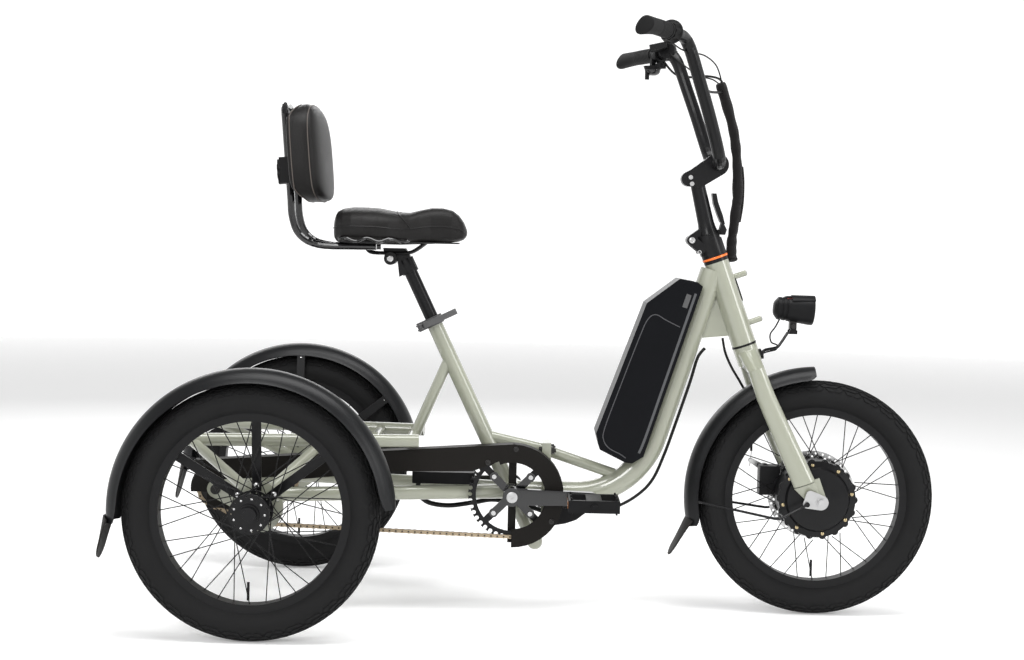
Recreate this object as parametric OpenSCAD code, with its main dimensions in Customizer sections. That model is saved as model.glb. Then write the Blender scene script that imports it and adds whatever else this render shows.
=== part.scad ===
// Electric adult tricycle: one 18-inch wheel in front, two behind, step-through frame,
// folding stem, coaster-hub chain drive and a front hub motor.
// X points forwards, Y to the rider's left, Z up. Lengths are in millimetres.
// The modules count X from the rear axle; placed() moves them to the middle of the trike.

/* [Wheels] */
// Distance from the rear axle to the front axle
wheelbase = 1100; // [1090:1:1110]
// Distance between the middles of the two rear tyres
track = 750; // [745:1:770]
// Outer radius of every tyre
tyre_r = 240; // [238:1:242]
// Width of the tyre section
tyre_w = 62; // [58:1:64]
// Spokes in each wheel
spoke_count = 36; // [24:4:40]

/* [Frame] */
// Angle of the head tube back from the vertical
head_angle = 20.1; // [19.5:0.1:20.5]
// Length of the head tube
head_len = 176; // [170:1:180]
// Outer radius of the down tube and main tube
main_r = 25; // [23:0.5:26]
// Angle of the seat tube back from the vertical
seat_angle = 25.9; // [25:0.1:26.5]
// Height of the deck rails' centre lines
deck_z = 348; // [344:1:352]

/* [Drive] */
// Teeth on the chainring
ring_teeth = 42; // [40:2:44]
// Teeth on the coaster hub's sprocket
hub_teeth = 20; // [18:1:22]
// Teeth on the two cogs of the axle chain
cog_teeth = 16; // [14:1:17]
// Length of a crank arm, centre to centre
crank_len = 160; // [150:1:165]

/* [Hidden] */
$fn = 48;
mid_x = 524.5;            // middle of the whole trike, in front of the rear axle
axle_z = tyre_r;
half_track = track / 2;
tyre_mid = tyre_r - tyre_w / 2;
rim_r = tyre_r - 53;
rim_in = rim_r - 17;
gap = 0.3;

// colours
paint = [0.71, 0.73, 0.66];
black = [0.09, 0.09, 0.10];
rubber = [0.13, 0.13, 0.14];
steel = [0.72, 0.73, 0.74];
orange = [1.0, 0.42, 0.10];
tan_chain = [0.72, 0.64, 0.52];
leather = [0.16, 0.15, 0.15];

// main points in the side view, [x, z]
head_foot = [945.5, 551.5];
bb = [480, 240];
jack = [-112, 242];
idler_at = [-28, 190];
fold_pin = [832, 760];
latch_pin = [901, 768];
bar_at = [880, 914];
flange_x = 548;           // plane where the two frame halves are bolted
main_z = 235;
bend_r = 172;
bend_at = [604, main_z + bend_r];
down_tilt = 17.7;         // down tube back from the vertical

// steering pieces, measured along the head axis from the foot of the head tube
steerer_r = 14.3;
front_axle_n = (wheelbase - head_foot[0]) * cos(head_angle) + (axle_z - head_foot[1]) * sin(head_angle);
front_axle_s = -(wheelbase - head_foot[0]) * sin(head_angle) + (axle_z - head_foot[1]) * cos(head_angle);
leg_y = 66;

// rear
rail_front = [275, 105];
rail_back = [-160, 165];
house_in = 95;
house_out = 308;
axle_r = 10;
bearing_r = 18.5;
post_r = 13.6;
collar_s = 372;

// drive
pitch = 12.7;
ring_r = pitch / 2 / sin(180 / ring_teeth);
hub_r = pitch / 2 / sin(180 / hub_teeth);
cog_r = pitch / 2 / sin(180 / cog_teeth);
idler_teeth = 10;
idler_r = pitch / 2 / sin(180 / idler_teeth);
chain_y = -72;
cog_y = 40;
guard_y = -89;

// ---------- helpers ----------
module placed() translate([-mid_x, 0, 0]) children();

// cylinder from point a to point b
module rod(a, b, r, r2 = undef) {
    v = b - a;
    len = norm(v);
    translate(a)
        rotate([0, acos(v[2] / len), atan2(v[1], v[0])])
            cylinder(h = len, r1 = r, r2 = is_undef(r2) ? r : r2);
}

// cylinder along Y at side-view point p
module pin(p, y0, y1, r, fn = 48)
    translate([p[0], y0, p[1]]) rotate([-90, 0, 0]) cylinder(h = y1 - y0, r = r, $fn = fn);

// flat plate between y0 and y1 whose outline is drawn in the side view
module slab(y0, y1) translate([0, y1, 0]) rotate([90, 0, 0]) linear_extrude(y1 - y0) children();

// turns a profile (radius, sideways) about the Y axis through p
module spun(p, y = 0, from = 0, angle = 360)
    translate([p[0], y, p[1]]) rotate([90, 0, 0]) rotate([0, 0, from])
        rotate_extrude(angle = angle, $fn = 96) children();

// both sides: the child and its mirror image
module both() {
    children();
    mirror([0, 1, 0]) children();
}

// frame of the head tube: origin at its foot, z up along it, x forwards
module on_head() translate([head_foot[0], 0, head_foot[1]]) rotate([0, -head_angle, 0]) children();

// frame of the seat tube: origin at the bottom bracket, z up along it
module on_seat() translate([bb[0] - 3, 0, bb[1]]) rotate([0, -seat_angle, 0]) children();

// flat ring sector, used for guards and clamps
module sector(r, a0, a1)
    polygon(concat([[0, 0]], [for (i = [0:24]) let (a = a0 + (a1 - a0) * i / 24) r * [cos(a), sin(a)]]));

// smooth route through hand-picked points (Catmull-Rom), n steps between points
function cr(a, b, c, d, t) = 0.5 * (2 * b + (c - a) * t + (2 * a - 5 * b + 4 * c - d) * t * t
    + (3 * b - a - 3 * c + d) * t * t * t);
function route(p, n) = concat([for (i = [0:len(p) - 2], k = [0:n - 1])
    cr(p[max(i - 1, 0)], p[i], p[i + 1], p[min(i + 2, len(p) - 1)], k / n)], [p[len(p) - 1]]);
function unit(v) = v / norm(v);
function tangent(p, i) = unit(p[min(i + 1, len(p) - 1)] - p[max(i - 1, 0)]);

// tube swept along points p, of one radius r or one for each point; the route never follows ref
module sweep(p, r, sides = 8, ref = [0, 1, 0]) {
    n = len(p);
    rings = [for (i = [0:n - 1]) let (t = tangent(p, i), u = unit(cross(ref, t)), w = cross(t, u))
        for (k = [0:sides - 1])
            p[i] + (is_list(r) ? r[i] : r) * (cos(360 * k / sides) * u + sin(360 * k / sides) * w)];
    sides_faces = [for (i = [0:n - 2], k = [0:sides - 1])
        [i * sides + k, (i + 1) * sides + k, (i + 1) * sides + (k + 1) % sides, i * sides + (k + 1) % sides]];
    ends = [[for (k = [0:sides - 1]) k], [for (k = [sides - 1:-1:0]) (n - 1) * sides + k]];
    polyhedron(points = rings, faces = concat(sides_faces, ends), convexity = 6);
}

// toothed disc about the Y axis with its teeth between chain rollers
module sprocket(p, y0, y1, teeth, turn = 0) {
    r = pitch / 2 / sin(180 / teeth);
    difference() {
        pin(p, y0, y1, r + 3.4);
        for (i = [0:teeth - 1]) let (a = turn + 360 * i / teeth)
            pin([p[0] + r * cos(a), p[1] + r * sin(a)], y0 - 1, y1 + 1, 4.2, 16);
    }
}

// ---------- wheels ----------
module tyre(p, y) spun(p, y) difference() {
    translate([tyre_mid, 0]) circle(r = tyre_w / 2);
    translate([tyre_mid, 0]) circle(r = tyre_w / 2 - 4.5);
    translate([rim_r - 25, -tyre_w]) square([25, 2 * tyre_w]);
}

module rim(p, y) {
    spun(p, y) difference() {
        translate([rim_in, -16]) square([17, 32]);
        translate([rim_in + 8, -12]) square([20, 24]);
        translate([rim_in + 2.5, -9]) square([3, 18]);
    }
    pin_at = [p[0] - 3, p[1] - rim_in + 6];
    rod([pin_at[0], y, pin_at[1]], [pin_at[0], y, pin_at[1] + 34], 2.6);
}

// spokes from hub flanges of radius hub_flange at +-flange_y to the rim, leaning by lean degrees
module spokes(p, y, hub_flange, flange_y, lean)
    for (i = [0:spoke_count - 1]) {
        side = i % 2 == 0 ? 1 : -1;
        way = floor(i / 2) % 2 == 0 ? 1 : -1;
        a = 360 * i / spoke_count;
        hub_a = a + way * lean;
        rod([p[0] + hub_flange * cos(hub_a), y + side * (flange_y + way * 2.2), p[1] + hub_flange * sin(hub_a)],
            [p[0] + (rim_in - 0.1) * cos(a), y + side * (3.5 + way * 1.5), p[1] + (rim_in - 0.1) * sin(a)], 1);
    }

module hub_shell(p, y, inner) difference() {
    union() {
        pin(p, y - 32, y + 32, 19);
        for (s = [-1, 1])
            pin(p, y + s * 25 - 2, y + s * 25 + 2, 38);
        pin(p, y - 38, y + 38, 15);
    }
    pin(p, y - 60, y + 60, inner);
    for (s = [-1, 1], i = [0:spoke_count / 2 - 1]) let (a = 720 * i / spoke_count)
        pin([p[0] + 33 * cos(a), p[1] + 33 * sin(a)], y + s * 25 - 4, y + s * 25 + 4, 1.3, 16);
}

front = [wheelbase, axle_z];
rear = [0, axle_z];

module tyre_front() placed() color(rubber) tyre(front, 0);
module rim_front() placed() color(black) {
    rim(front, 0);
    spokes(front, 0, 83.2, 30, 16);
}
module motor_hub() placed() color(black) difference() {
    union() {
        spun(front) polygon([[7.1, 48], [26, 48], [62, 44], [66, 38], [78, 34], [78, -34], [66, -38],
            [62, -41], [26, -42], [7.1, -42]]);
        for (s = [-1, 1], i = [0:17]) let (a = 20 * i)
            pin([front[0] + 75 * cos(a), front[1] + 75 * sin(a)], s * 30 - 3, s * 30 + 3, 7.5);
    }
    for (s = [-1, 1], i = [0:17]) let (a = 20 * i + 3)
        pin([front[0] + 78 * cos(a), front[1] + 78 * sin(a)], s * 30 - 4, s * 30 + 4, 1.3, 16);
    spun(front) translate([30, -30]) square([38, 66]);
}
module brake_rotor() placed() color(steel) difference() {
    union() {
        pin(front, 45.5, 47.5, 90);
        pin(front, 42.3, 45.6, 26);
    }
    pin(front, 40, 50, 20);
    for (i = [0:5]) let (a = 60 * i + 15)
        pin([front[0] + 54 * cos(a), front[1] + 54 * sin(a)], 40, 50, 15);
    for (i = [0:35], k = [0:1]) let (a = 10 * i + 5 * k)
        pin([front[0] + (78 + 7 * k) * cos(a), front[1] + (78 + 7 * k) * sin(a)], 40, 50, 2.4, 16);
}

module tyre_rear_left() placed() color(rubber) tyre(rear, half_track);
module tyre_rear_right() placed() color(rubber) tyre(rear, -half_track);
module rim_rear_left() placed() color(black) {
    rim(rear, half_track);
    spokes(rear, half_track, 38.2, 25, 50);
}
module rim_rear_right() placed() color(black) {
    rim(rear, -half_track);
    spokes(rear, -half_track, 38.2, 25, 50);
}
module hub_rear_left() placed() color(black) {
    hub_shell(rear, half_track, axle_r + 0.05);
    difference() {
        pin(rear, house_in + 4, half_track + 42, axle_r);
        pin(rear, house_in, house_in + 14, 3);
    }
    nut_on_axle(1);
}
module hub_rear_right() placed() color(black) {
    hub_shell(rear, -half_track, axle_r + 0.05);
    pin(rear, -half_track - 42, cog_y + 4, axle_r);
    difference() {
        sprocket(rear, cog_y - 1.1, cog_y + 1.1, cog_teeth);
        pin(rear, cog_y - 9, cog_y + 9, axle_r - 0.5);
    }
    nut_on_axle(-1);
}
// domed wheel nut on the outer end of a rear axle
module nut_on_axle(side) difference() {
    pin(rear, side > 0 ? half_track + 38.2 : -half_track - 42, side > 0 ? half_track + 42 : -half_track - 38.2, 15);
    pin(rear, side * half_track - 60, side * half_track + 60, axle_r + 0.05);
}

// ---------- frame ----------
flange_bolts = [[-26, 216], [26, 216], [-26, 326], [26, 326]];

down_foot = bend_at + bend_r * [cos(down_tilt), -sin(down_tilt)];
down_dir = [sin(down_tilt), cos(down_tilt)];
// main tube, bend and down tube of radius r, from x = from to a length along the down tube
module front_tubes(r, from, len) {
    top = down_foot + len * down_dir;
    bend = [for (i = [0:14]) let (a = -90 + (90 - down_tilt) * i / 14)
        [bend_at[0] + bend_r * cos(a), 0, bend_at[1] + bend_r * sin(a)]];
    sweep(concat([[from, 0, main_z]], bend, [[top[0], 0, top[1]]]), r, 40);
}
module front_frame() placed() color(paint) difference() {
    union() {
        front_tubes(main_r, flange_x, 362);
        on_head() cylinder(h = head_len, r = 25);
        rod([flange_x + 4, 0, 321.7], [694, 0, 276], 11);
        slab(-3, 3) polygon([[846, 560], [923, 568], [892, 650], [874, 648]]);
        translate([flange_x, -36, 202]) cube([9, 72, 140]);
        on_head() for (s = [38, 136])
            translate([20, 0, s]) rotate([0, 90, 0]) cylinder(h = 30, r = 6);
    }
    front_tubes(main_r - 2.5, flange_x - 1, 290);
    rod([flange_x - 5, 0, 324.8], [672, 0, 283.2], 9);
    on_head() translate([0, 0, -1]) cylinder(h = head_len + 2, r = 22);
    on_head() for (s = [38, 136])
        translate([35, 0, s]) rotate([0, 90, 0]) cylinder(h = 16, r = 2.5);
    on_head() translate([24, -6, 86]) cube([5, 12, 44]);
    for (b = flange_bolts)
        translate([flange_x - 1, b[0], b[1]]) rotate([0, 90, 0]) cylinder(h = 11, r = 4.2);
}

module rear_frame() placed() color(paint) difference() {
    union() {
        on_seat() {
            translate([0, 0, -118]) cylinder(h = 500, r = 16);
            translate([0, 0, -118]) sphere(r = 16);
        }
        pin(bb, -36.5, 36.5, 21);
        difference() {
            rod([flange_x - 9, 0, main_z], [bb[0], 0, main_z], main_r);
            rod([flange_x + 1, 0, main_z], [bb[0] + 26, 0, main_z], main_r - 2.5);
        }
        rod([flange_x - 9, 0, 326], [430, 0, 350], 11);
        rod([342, 0, 502], [279, 0, deck_z + 4], 11);
        both() difference() {
            rod([472, -24, bb[1]], [4, -150, axle_z + 1], 14.3);
            rod([450, -30, bb[1]], [0, -151.2, axle_z + 1], 12.3);
        }
        translate([flange_x - 9, -36, 202]) cube([9, 72, 140]);
    }
    pin(rear, -200, 200, 22.52);
    rod([rail_front[0], -100, deck_z], [rail_front[0], 100, deck_z], 11.52);
    pin(bb, -40, 40, 17.5);
    on_seat() translate([0, 0, 60]) cylinder(h = 400, r = post_r + 0.07);
    on_seat() translate([-20, -1.5, 340]) cube([20, 3, 60]);
    for (b = flange_bolts)
        translate([flange_x - 11, b[0], b[1]]) rotate([0, 90, 0]) cylinder(h = 12, r = 4.2);
}

deck_holes = [[40, -70], [40, 70], [200, -70], [200, 70]];
function rail_y(x) = rail_back[1]
    + (x - rail_back[0]) * (rail_front[1] - rail_back[1]) / (rail_front[0] - rail_back[0]);
module rear_deck() placed() color(paint) difference() {
    union() {
        both() {
            rod([rail_back[0] - 16, -rail_y(rail_back[0] - 16), deck_z],
                [rail_front[0] + 16, -rail_y(rail_front[0] + 16), deck_z], 12.7);
            rod([-148, -rail_y(-148), deck_z - 4], [-16, -290, axle_z + 26], 10);
            rod([104, -rail_y(104), deck_z - 4], [16, -290, axle_z + 26], 10);
            pin(rear, -house_out, -house_in, 22.5);
            pin(rear, -house_out, -house_out + 8, 50);
        }
        rod([rail_front[0], -rail_front[1], deck_z], [rail_front[0], rail_front[1], deck_z], 11.5);
        rod([rail_back[0], -rail_back[1], deck_z], [rail_back[0], rail_back[1], deck_z], 11.5);
        for (x = [40, 200]) {
            rod([x, -rail_y(x), deck_z], [x, rail_y(x), deck_z], 9);
            for (y = [-70, 70])
                translate([x, y, deck_z - 9]) cylinder(h = 21.7, r = 7);
        }
        slab(-house_in - 6, -house_in) hull() {
            translate(rear) circle(r = 28);
            translate(jack) circle(r = 18);
            translate(idler_at) circle(r = 10);
        }
        slab(house_in, house_in + 6) hull() {
            translate(rear) circle(r = 28);
            translate(jack) circle(r = 18);
        }
    }
    both() pin(rear, -house_out - 2, -house_in + 9, bearing_r);
    both() for (i = [0:4])
        pin([42 * cos(72 * i + 18), axle_z + 42 * sin(72 * i + 18)], -house_out - 1, -house_out + 9, 2.6);
    pin(jack, -120, 120, 6.1);
    pin(idler_at, -120, -60, 4.1);
    for (h = deck_holes)
        translate([h[0], h[1], deck_z - 3]) cylinder(h = 20, r = 2.5);
}

module frame_bolts() placed() color(steel) {
    for (b = flange_bolts) {
        translate([flange_x - 15, b[0], b[1]]) rotate([0, 90, 0]) cylinder(h = 34, r = 4);
        translate([flange_x + 9, b[0], b[1]]) rotate([0, 90, 0]) cylinder(h = 7, r = 7, $fn = 6);
        translate([flange_x - 16, b[0], b[1]]) rotate([0, 90, 0]) cylinder(h = 7, r = 7, $fn = 6);
    }
    pin(jack, -112, 112, 6);
    for (s = [-1, 1])
        pin(jack, s > 0 ? house_in + 6 : -house_in - 15, s > 0 ? house_in + 15 : -house_in - 6, 10);
    pin(idler_at, -house_in - 9, -63, 4);
    pin(idler_at, -house_in - 11, -house_in - 6, 7, 6);
    pin(idler_at, -65, -61, 6);
}

module headset() placed() color(black) on_head() difference() {
    union() {
        translate([0, 0, -4]) cylinder(h = 4, r = 25.4);
        cylinder(h = 12, r = 21.95);
        translate([0, 0, head_len]) cylinder(h = 7, r = 25.2);
        translate([0, 0, head_len - 12]) cylinder(h = 12, r = 21.95);
        translate([0, 0, head_len + 7]) cylinder(h = 6, r = 25.8);
    }
    translate([0, 0, -20]) cylinder(h = 240, r = steerer_r + 0.06);
}

module race(p, y0, y1, r_in, r_out) difference() {
    pin(p, y0, y1, r_out);
    pin(p, y0 - 1, y1 + 1, r_in);
}
module bearings() placed() color(steel) both() {
    race(rear, -house_in - 18, -house_in - 9, axle_r + 0.05, bearing_r - 0.02);
    race(rear, -house_out + 6, -house_out + 15, axle_r + 0.05, bearing_r - 0.02);
    race(bb, -36.5, -24, 8.55, 17.48);
}

// quick-release clamp: split collar, its skewer, and a cam lever that swings on the skewer's eye
skewer_n = -27;
lever_y = -28;
module seat_collar() placed() color(black) on_seat() translate([0, 0, collar_s]) {
    difference() {
        union() {
            cylinder(h = 18, r = 20.5);
            translate([-34, -13, 0]) cube([20, 26, 18]);
        }
        translate([0, 0, -1]) cylinder(h = 11.1, r = 16.04);
        translate([0, 0, 5]) cylinder(h = 20, r = post_r + 0.4);
        translate([-40, -2, -1]) cube([40, 4, 20]);
        translate([skewer_n, -20, 9]) rotate([-90, 0, 0]) cylinder(h = 40, r = 3.1);
    }
    difference() {
        union() {
            translate([skewer_n, lever_y, 9]) rotate([-90, 0, 0]) cylinder(h = 46, r = 2.9);
            translate([skewer_n, lever_y, 6]) cylinder(h = 6, r = 6);
            translate([skewer_n, 13.05, 9]) rotate([-90, 0, 0]) cylinder(h = 8, r = 7);
        }
        translate([skewer_n, lever_y, 0]) cylinder(h = 20, r = 2.56);
    }
}
module seat_lever() placed() color(steel) on_seat() translate([0, 0, collar_s + 9]) {
    translate([skewer_n, lever_y, -6]) cylinder(h = 12, r = 2.5);
    for (z = [-6, 3.3])
        translate([skewer_n, lever_y, z]) cylinder(h = 2.7, r = 8);
    translate([0, 0, -6]) linear_extrude(12) polygon([[-20.5, -33], [-20.5, -24.5], [0, -26], [26, -28], [47, -22],
        [53, -24], [50, -31], [24, -37], [-8, -36.5], [-18, -35]]);
}

// ---------- drive ----------
guard_in = 67;
guard_out = 104;
cover_line = [[-160, 297], [bb[0], 344], [bb[0], 320], [400, 288], [240, 284], [40, 262], [-100, 250]];
module guard_outline() {
    difference() {
        union() {
            translate(bb) sector(guard_out, -90, 112);
            polygon(cover_line);
            translate(jack) circle(r = 53);
        }
        translate(bb) circle(r = guard_in);
        translate([-220, 130]) square([88, 104]);
        translate([-132, 150]) square([90, 52]);
    }
}
module chain_guard() placed() color(black) {
    difference() {
        slab(guard_y, -52) guard_outline();
        slab(guard_y + 2, -50) offset(delta = -2) guard_outline();
        slab(-86, -40) translate(bb) circle(r = 95);
        slab(-86, -40)
            polygon([[-170, 150], [bb[0] - 40, 140], [bb[0] - 40, 286], [240, 280], [-60, 240], [-170, 200]]);
        slab(-86, -40) translate(jack) circle(r = 48);
        pin(jack, -120, -40, 20);
    }
    difference() {
        slab(-64, -58) translate(bb) translate([-8, -98]) square([16, 194]);
        pin(bb, -80, 0, 22);
    }
    slab(guard_y + 1, -58) translate(bb) translate([-8, 92]) square([16, 8]);
    slab(guard_y + 1, -58) translate(bb) translate([1, -100]) square([7, 9]);
}

// one closed chain loop around sprocket circles, with a slot for the teeth
module chain_loop(y, wheels) {
    module band() difference() {
        hull() for (w = wheels) translate(w[0]) circle(r = w[1] + 4, $fn = 72);
        hull() for (w = wheels) translate(w[0]) circle(r = w[1] - 4, $fn = 72);
    }
    difference() {
        slab(y - 4.2, y + 4.2) band();
        for (w = wheels) pin(w[0], y - 2, y + 2, w[1] + 5.5);
    }
}
module drive_chains() placed() color(tan_chain) {
    chain_loop(chain_y, [[bb, ring_r], [idler_at, idler_r], [jack, hub_r]]);
    chain_loop(cog_y, [[rear, cog_r], [jack, cog_r]]);
}

module chainring() placed() color(black) difference() {
    union() {
        difference() {
            sprocket(bb, chain_y - 1.1, chain_y + 1.1, ring_teeth);
            pin(bb, chain_y - 5, chain_y + 5, 73);
        }
        for (i = [0:3]) let (a = 45 + 90 * i) {
            pin([bb[0] + 52 * cos(a), bb[1] + 52 * sin(a)], chain_y - 1.1, chain_y + 1.1, 9);
            slab(chain_y - 1.1, chain_y + 1.1) translate(bb) rotate(a) translate([52, -7]) square([23, 14]);
        }
    }
    for (i = [0:3]) let (a = 45 + 90 * i)
        pin([bb[0] + 52 * cos(a), bb[1] + 52 * sin(a)], -90, -60, 4.1);
}

module cranks() placed() color(black) {
    pin(bb, -108, 108, 8.5);
    for (i = [0:3]) let (a = 45 + 90 * i) {
        slab(-77, chain_y - 1.2) translate(bb) rotate(a) translate([0, -8]) square([52, 16]);
        pin([bb[0] + 52 * cos(a), bb[1] + 52 * sin(a)], -77, chain_y - 1.2, 9);
        pin([bb[0] + 52 * cos(a), bb[1] + 52 * sin(a)], -79, -67, 4);
    }
    pin(bb, -108, chain_y - 1.2, 19);
    pin(bb, 92, 108, 19);
    crank_arm(1, -106, -92);
    crank_arm(-1, 92, 106);
}
module crank_arm(way, y0, y1) difference() {
    hull() {
        pin(bb, y0, y1, 17, 32);
        pin([bb[0] + way * crank_len, bb[1]], y0 - (way > 0 ? 4 : 0), y1 + (way > 0 ? 0 : 4), 13, 32);
    }
    pin([bb[0] + way * crank_len, bb[1]], y0 - 6, y1 + 6, 6.05);
}

module pedal(way) {
    p = [bb[0] + way * crank_len, bb[1]];
    s = -way;
    inner = 112.5;
    pin(p, min(s * 94, s * 218), max(s * 94, s * 218), 6);
    difference() {
        translate([p[0] - 50, s > 0 ? inner : -inner - 100, p[1] - 12]) cube([100, 100, 24]);
        for (k = [-1, 1])
            translate([p[0] + k * 29 - 14, s > 0 ? inner + 10 : -inner - 90, p[1] - 20]) cube([28, 80, 40]);
        pin(p, -300, 300, 5.5);
    }
    for (dx = [-44, 44], dy = [8, 50, 92], up = [-1, 1])
        translate([p[0] + dx, s * (inner + dy), p[1] + (up > 0 ? 11.5 : -16)]) cylinder(h = 4.5, r = 2);
}
module pedal_right() placed() color(black) pedal(1);
module pedal_left() placed() color(black) pedal(-1);

// coaster-brake hub used as a jackshaft: its driver takes the front chain, its shell drives the axle chain
module jackshaft_sprocket() placed() color(black) difference() {
    union() {
        sprocket(jack, chain_y - 1.1, chain_y + 1.1, hub_teeth);
        pin(jack, chain_y + 1, -58, 17);
    }
    pin(jack, -100, 100, 6.06);
}
module jackshaft() placed() color(black) difference() {
    union() {
        pin(jack, -57.5, 30, 30);
        pin(jack, 29, 60, 20);
        sprocket(jack, cog_y - 1.1, cog_y + 1.1, cog_teeth);
    }
    pin(jack, -100, 100, 6.06);
}
module idler() placed() color(black) difference() {
    sprocket(idler_at, chain_y - 1.2, chain_y + 1.2, idler_teeth);
    pin(idler_at, -90, -50, 4.06);
}

// ---------- fenders ----------
crown_c = 227.5;
module fender_profile(half_w) difference() {
    translate([crown_c, 0]) circle(r = 40.5);
    translate([crown_c, 0]) circle(r = 38.7);
    translate([0, -60]) square([242, 120]);
}
// rubber flap hanging behind the end of a fender
module flap(p, y, angle, r, len, kick) translate([p[0], y, p[1]]) rotate([0, -angle, 0])
    translate([r, 0, 0]) rotate([0, kick, 0]) translate([-2, 0, -len]) intersection() {
        translate([0, -34, 0]) cube([4, 68, len]);
        translate([-5, 0, len - 30]) rotate([0, 90, 0]) cylinder(h = 12, r = 45, $fn = 64);
    }
module fender_rear(y) {
    spun(rear, y, 3, 182) fender_profile(38);
    flap(rear, y, 184, 262, 78, 203);
}
module rear_fenders() placed() color(black) for (s = [-1, 1]) fender_rear(s * half_track);

module front_fender() placed() color(black) {
    difference() {
        spun(front, 0, 92, 102) fender_profile(38);
    }
    flap(front, 0, 192, 260, 86, 226);
    slab(-12, 12) polygon([[966, 468], [972, 472], [958, 506], [952, 503]]);
}

module rear_fender_stays() placed() color(black) both()
    for (a = [38, 90, 147]) rotate_about(rear, a) {
        slab(-house_out - 4, -house_out) translate([30, -9]) square([24, 18]);
        hull() {
            translate([50, -house_out - 4, -9]) cube([4, 4, 18]);
            translate([240, -(half_track - 38), -9]) cube([3, 3, 18]);
        }
    }
// turns side-view drawing by a degrees about p; its own x axis then points outwards
module rotate_about(p, a) translate([p[0], 0, p[1]]) rotate([0, -a, 0]) children();

module front_fender_stays() placed() color(black) both() {
    sweep([[1072, -85.2, 236], [1060, -85.2, 229], [1026, -80, 209], [1018, -79, 205], [1009, -77, 205],
        [858, -38.5, 230]], 2.6, 8, [0, 0, 1]);
    translate([1072, -85, 236]) rotate([-90, 0, 0]) translate([0, 0, -2]) cylinder(h = 4.5, r = 5);
}

// ---------- battery and wiring ----------
module on_down() translate([down_foot[0], 0, down_foot[1]]) rotate([0, down_tilt, 0]) children();
// in that frame z runs up the tube and -x points to the battery's side
battery_outline = [[-13, 300], [-13, -40], [-30, -60], [-45, -63], [-101, -55], [-109, -43], [-119, -27],
    [-109, 256], [-62, 324], [-26, 329], [-13, 324]];
module battery() placed() color(black) difference() {
    on_down() rotate([90, 0, 0]) translate([0, 0, -52]) linear_extrude(104) polygon(battery_outline);
    on_down() translate([-42, -27.5, -90]) cube([60, 55, 500]);
    front_tubes(main_r + 4, 560, 20);
}
module battery_rail() placed() color(black) difference() {
    on_down() translate([-41.5, -17, 8]) cube([22, 34, 296]);
    on_down() cylinder(h = 400, r = main_r + 0.02);
}
// motor controller box over the chainstays, and the wiring cover under the main tube
module controller() placed() color(black) {
    translate([276, -44, 254.6]) cube([126, 88, 24]);
    difference() {
        slab(-24, 24) polygon([[558, 209], [606, 209], [636, 203], [612, 184], [590, 176], [558, 170]]);
        front_tubes(main_r + 0.05, 530, 20);
    }
}
harness = [[866, 0, 540], [852, 0, 520], [838, 0, 470], [812, 0, 388], [790, 0, 322], [768, 0, 270],
    [740, 0, 238], [700, 0, 213], [660, 0, 204], [640, 0, 200]];
loop_run = [[556, 20, 190], [530, 40, 196], [490, 48, 205], [440, 46, 212], [400, 40, 206], [350, 30, 200],
    [310, 20, 206], [290, 10, 222], [286, 0, 240], [288, 0, 254]];
module frame_cables() placed() color(black) {
    sweep(route(harness, 3), 3.2, 8);
    sweep(route(loop_run, 3), 5, 8);
}

// ---------- fork and steering ----------
module leg_disc(n, s, w, t, h = 2) translate([n, 0, s]) scale([w / t, 1, 1]) cylinder(h = h, r = t / 2, $fn = 32);
module fork() placed() color(paint) on_head() {
    difference() {
        union() {
            translate([0, 0, -30]) cylinder(h = 250, r = steerer_r);
            translate([0, 0, -42]) cylinder(h = 37.4, r = 25);
            both() translate([0, -leg_y, 0]) {
                hull() {
                    leg_disc(2, -112, 38, 30);
                    leg_disc(1, -52, 34, 30);
                }
                hull() {
                    leg_disc(1, -52, 34, 30);
                    translate([0, leg_y, -40]) cylinder(h = 30, r = 20, $fn = 32);
                }
                hull() {
                    leg_disc(20, -302, 45, 26);
                    leg_disc(2, -112, 38, 30);
                }
                translate([front_axle_n - 14, -3, front_axle_s]) cube([28, 6, 46]);
                translate([front_axle_n, -3, front_axle_s]) rotate([-90, 0, 0]) cylinder(h = 6, r = 14);
                hull() {
                    leg_disc(20, -306, 45, 20);
                    translate([front_axle_n - 26, -3, front_axle_s + 12]) cube([30, 6, 6]);
                }
            }
        }
        translate([0, 0, -60]) cylinder(h = 400, r = 11.5);
        translate([front_axle_n, -100, front_axle_s]) rotate([-90, 0, 0]) cylinder(h = 200, r = 7.02);
        translate([front_axle_n, 0, front_axle_s]) rotate([90, 0, 0]) cylinder(h = 104, r = 92, center = true);
    }
}

module front_axle() placed() color(steel) {
    pin(front, -92, 92, 7);
    for (s = [-1, 1]) {
        pin(front, s > 0 ? 69.1 : -74, s > 0 ? 74 : -69.1, 11.5);
        pin(front, s > 0 ? 74 : -84, s > 0 ? 84 : -74, 11, 6);
        difference() {
            slab(s > 0 ? 79.2 : -82.2, s > 0 ? 82.2 : -79.2) hull() {
                translate(front) circle(r = 15);
                translate([1072, 236]) circle(r = 8);
                translate([1078, 256]) circle(r = 8);
            }
            pin(front, -100, 100, 6.5);
        }
    }
}

module brake_caliper() placed() color(black) difference() {
    union() {
        translate([992, 40, 236]) cube([42, 40, 60]);
        pin([1006, 286], 62, 84, 12);
        pin([1010, 262], 78, 86, 14);
    }
    pin(front, 44, 49, 92.5);
    pin(front, 30, 43.3, 92.5);
    translate([960, 44, 200]) cube([100, 5, 130]);
    pin([1006, 286], 60, 90, 4.06);
}
module caliper_arm() placed() color(steel) {
    pin([1006, 286], 66, 92, 4);
    slab(88, 92) hull() {
        translate([1006, 286]) circle(r = 7);
        translate([978, 302]) circle(r = 5);
    }
    pin([978, 302], 82, 92, 4);
}

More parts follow.
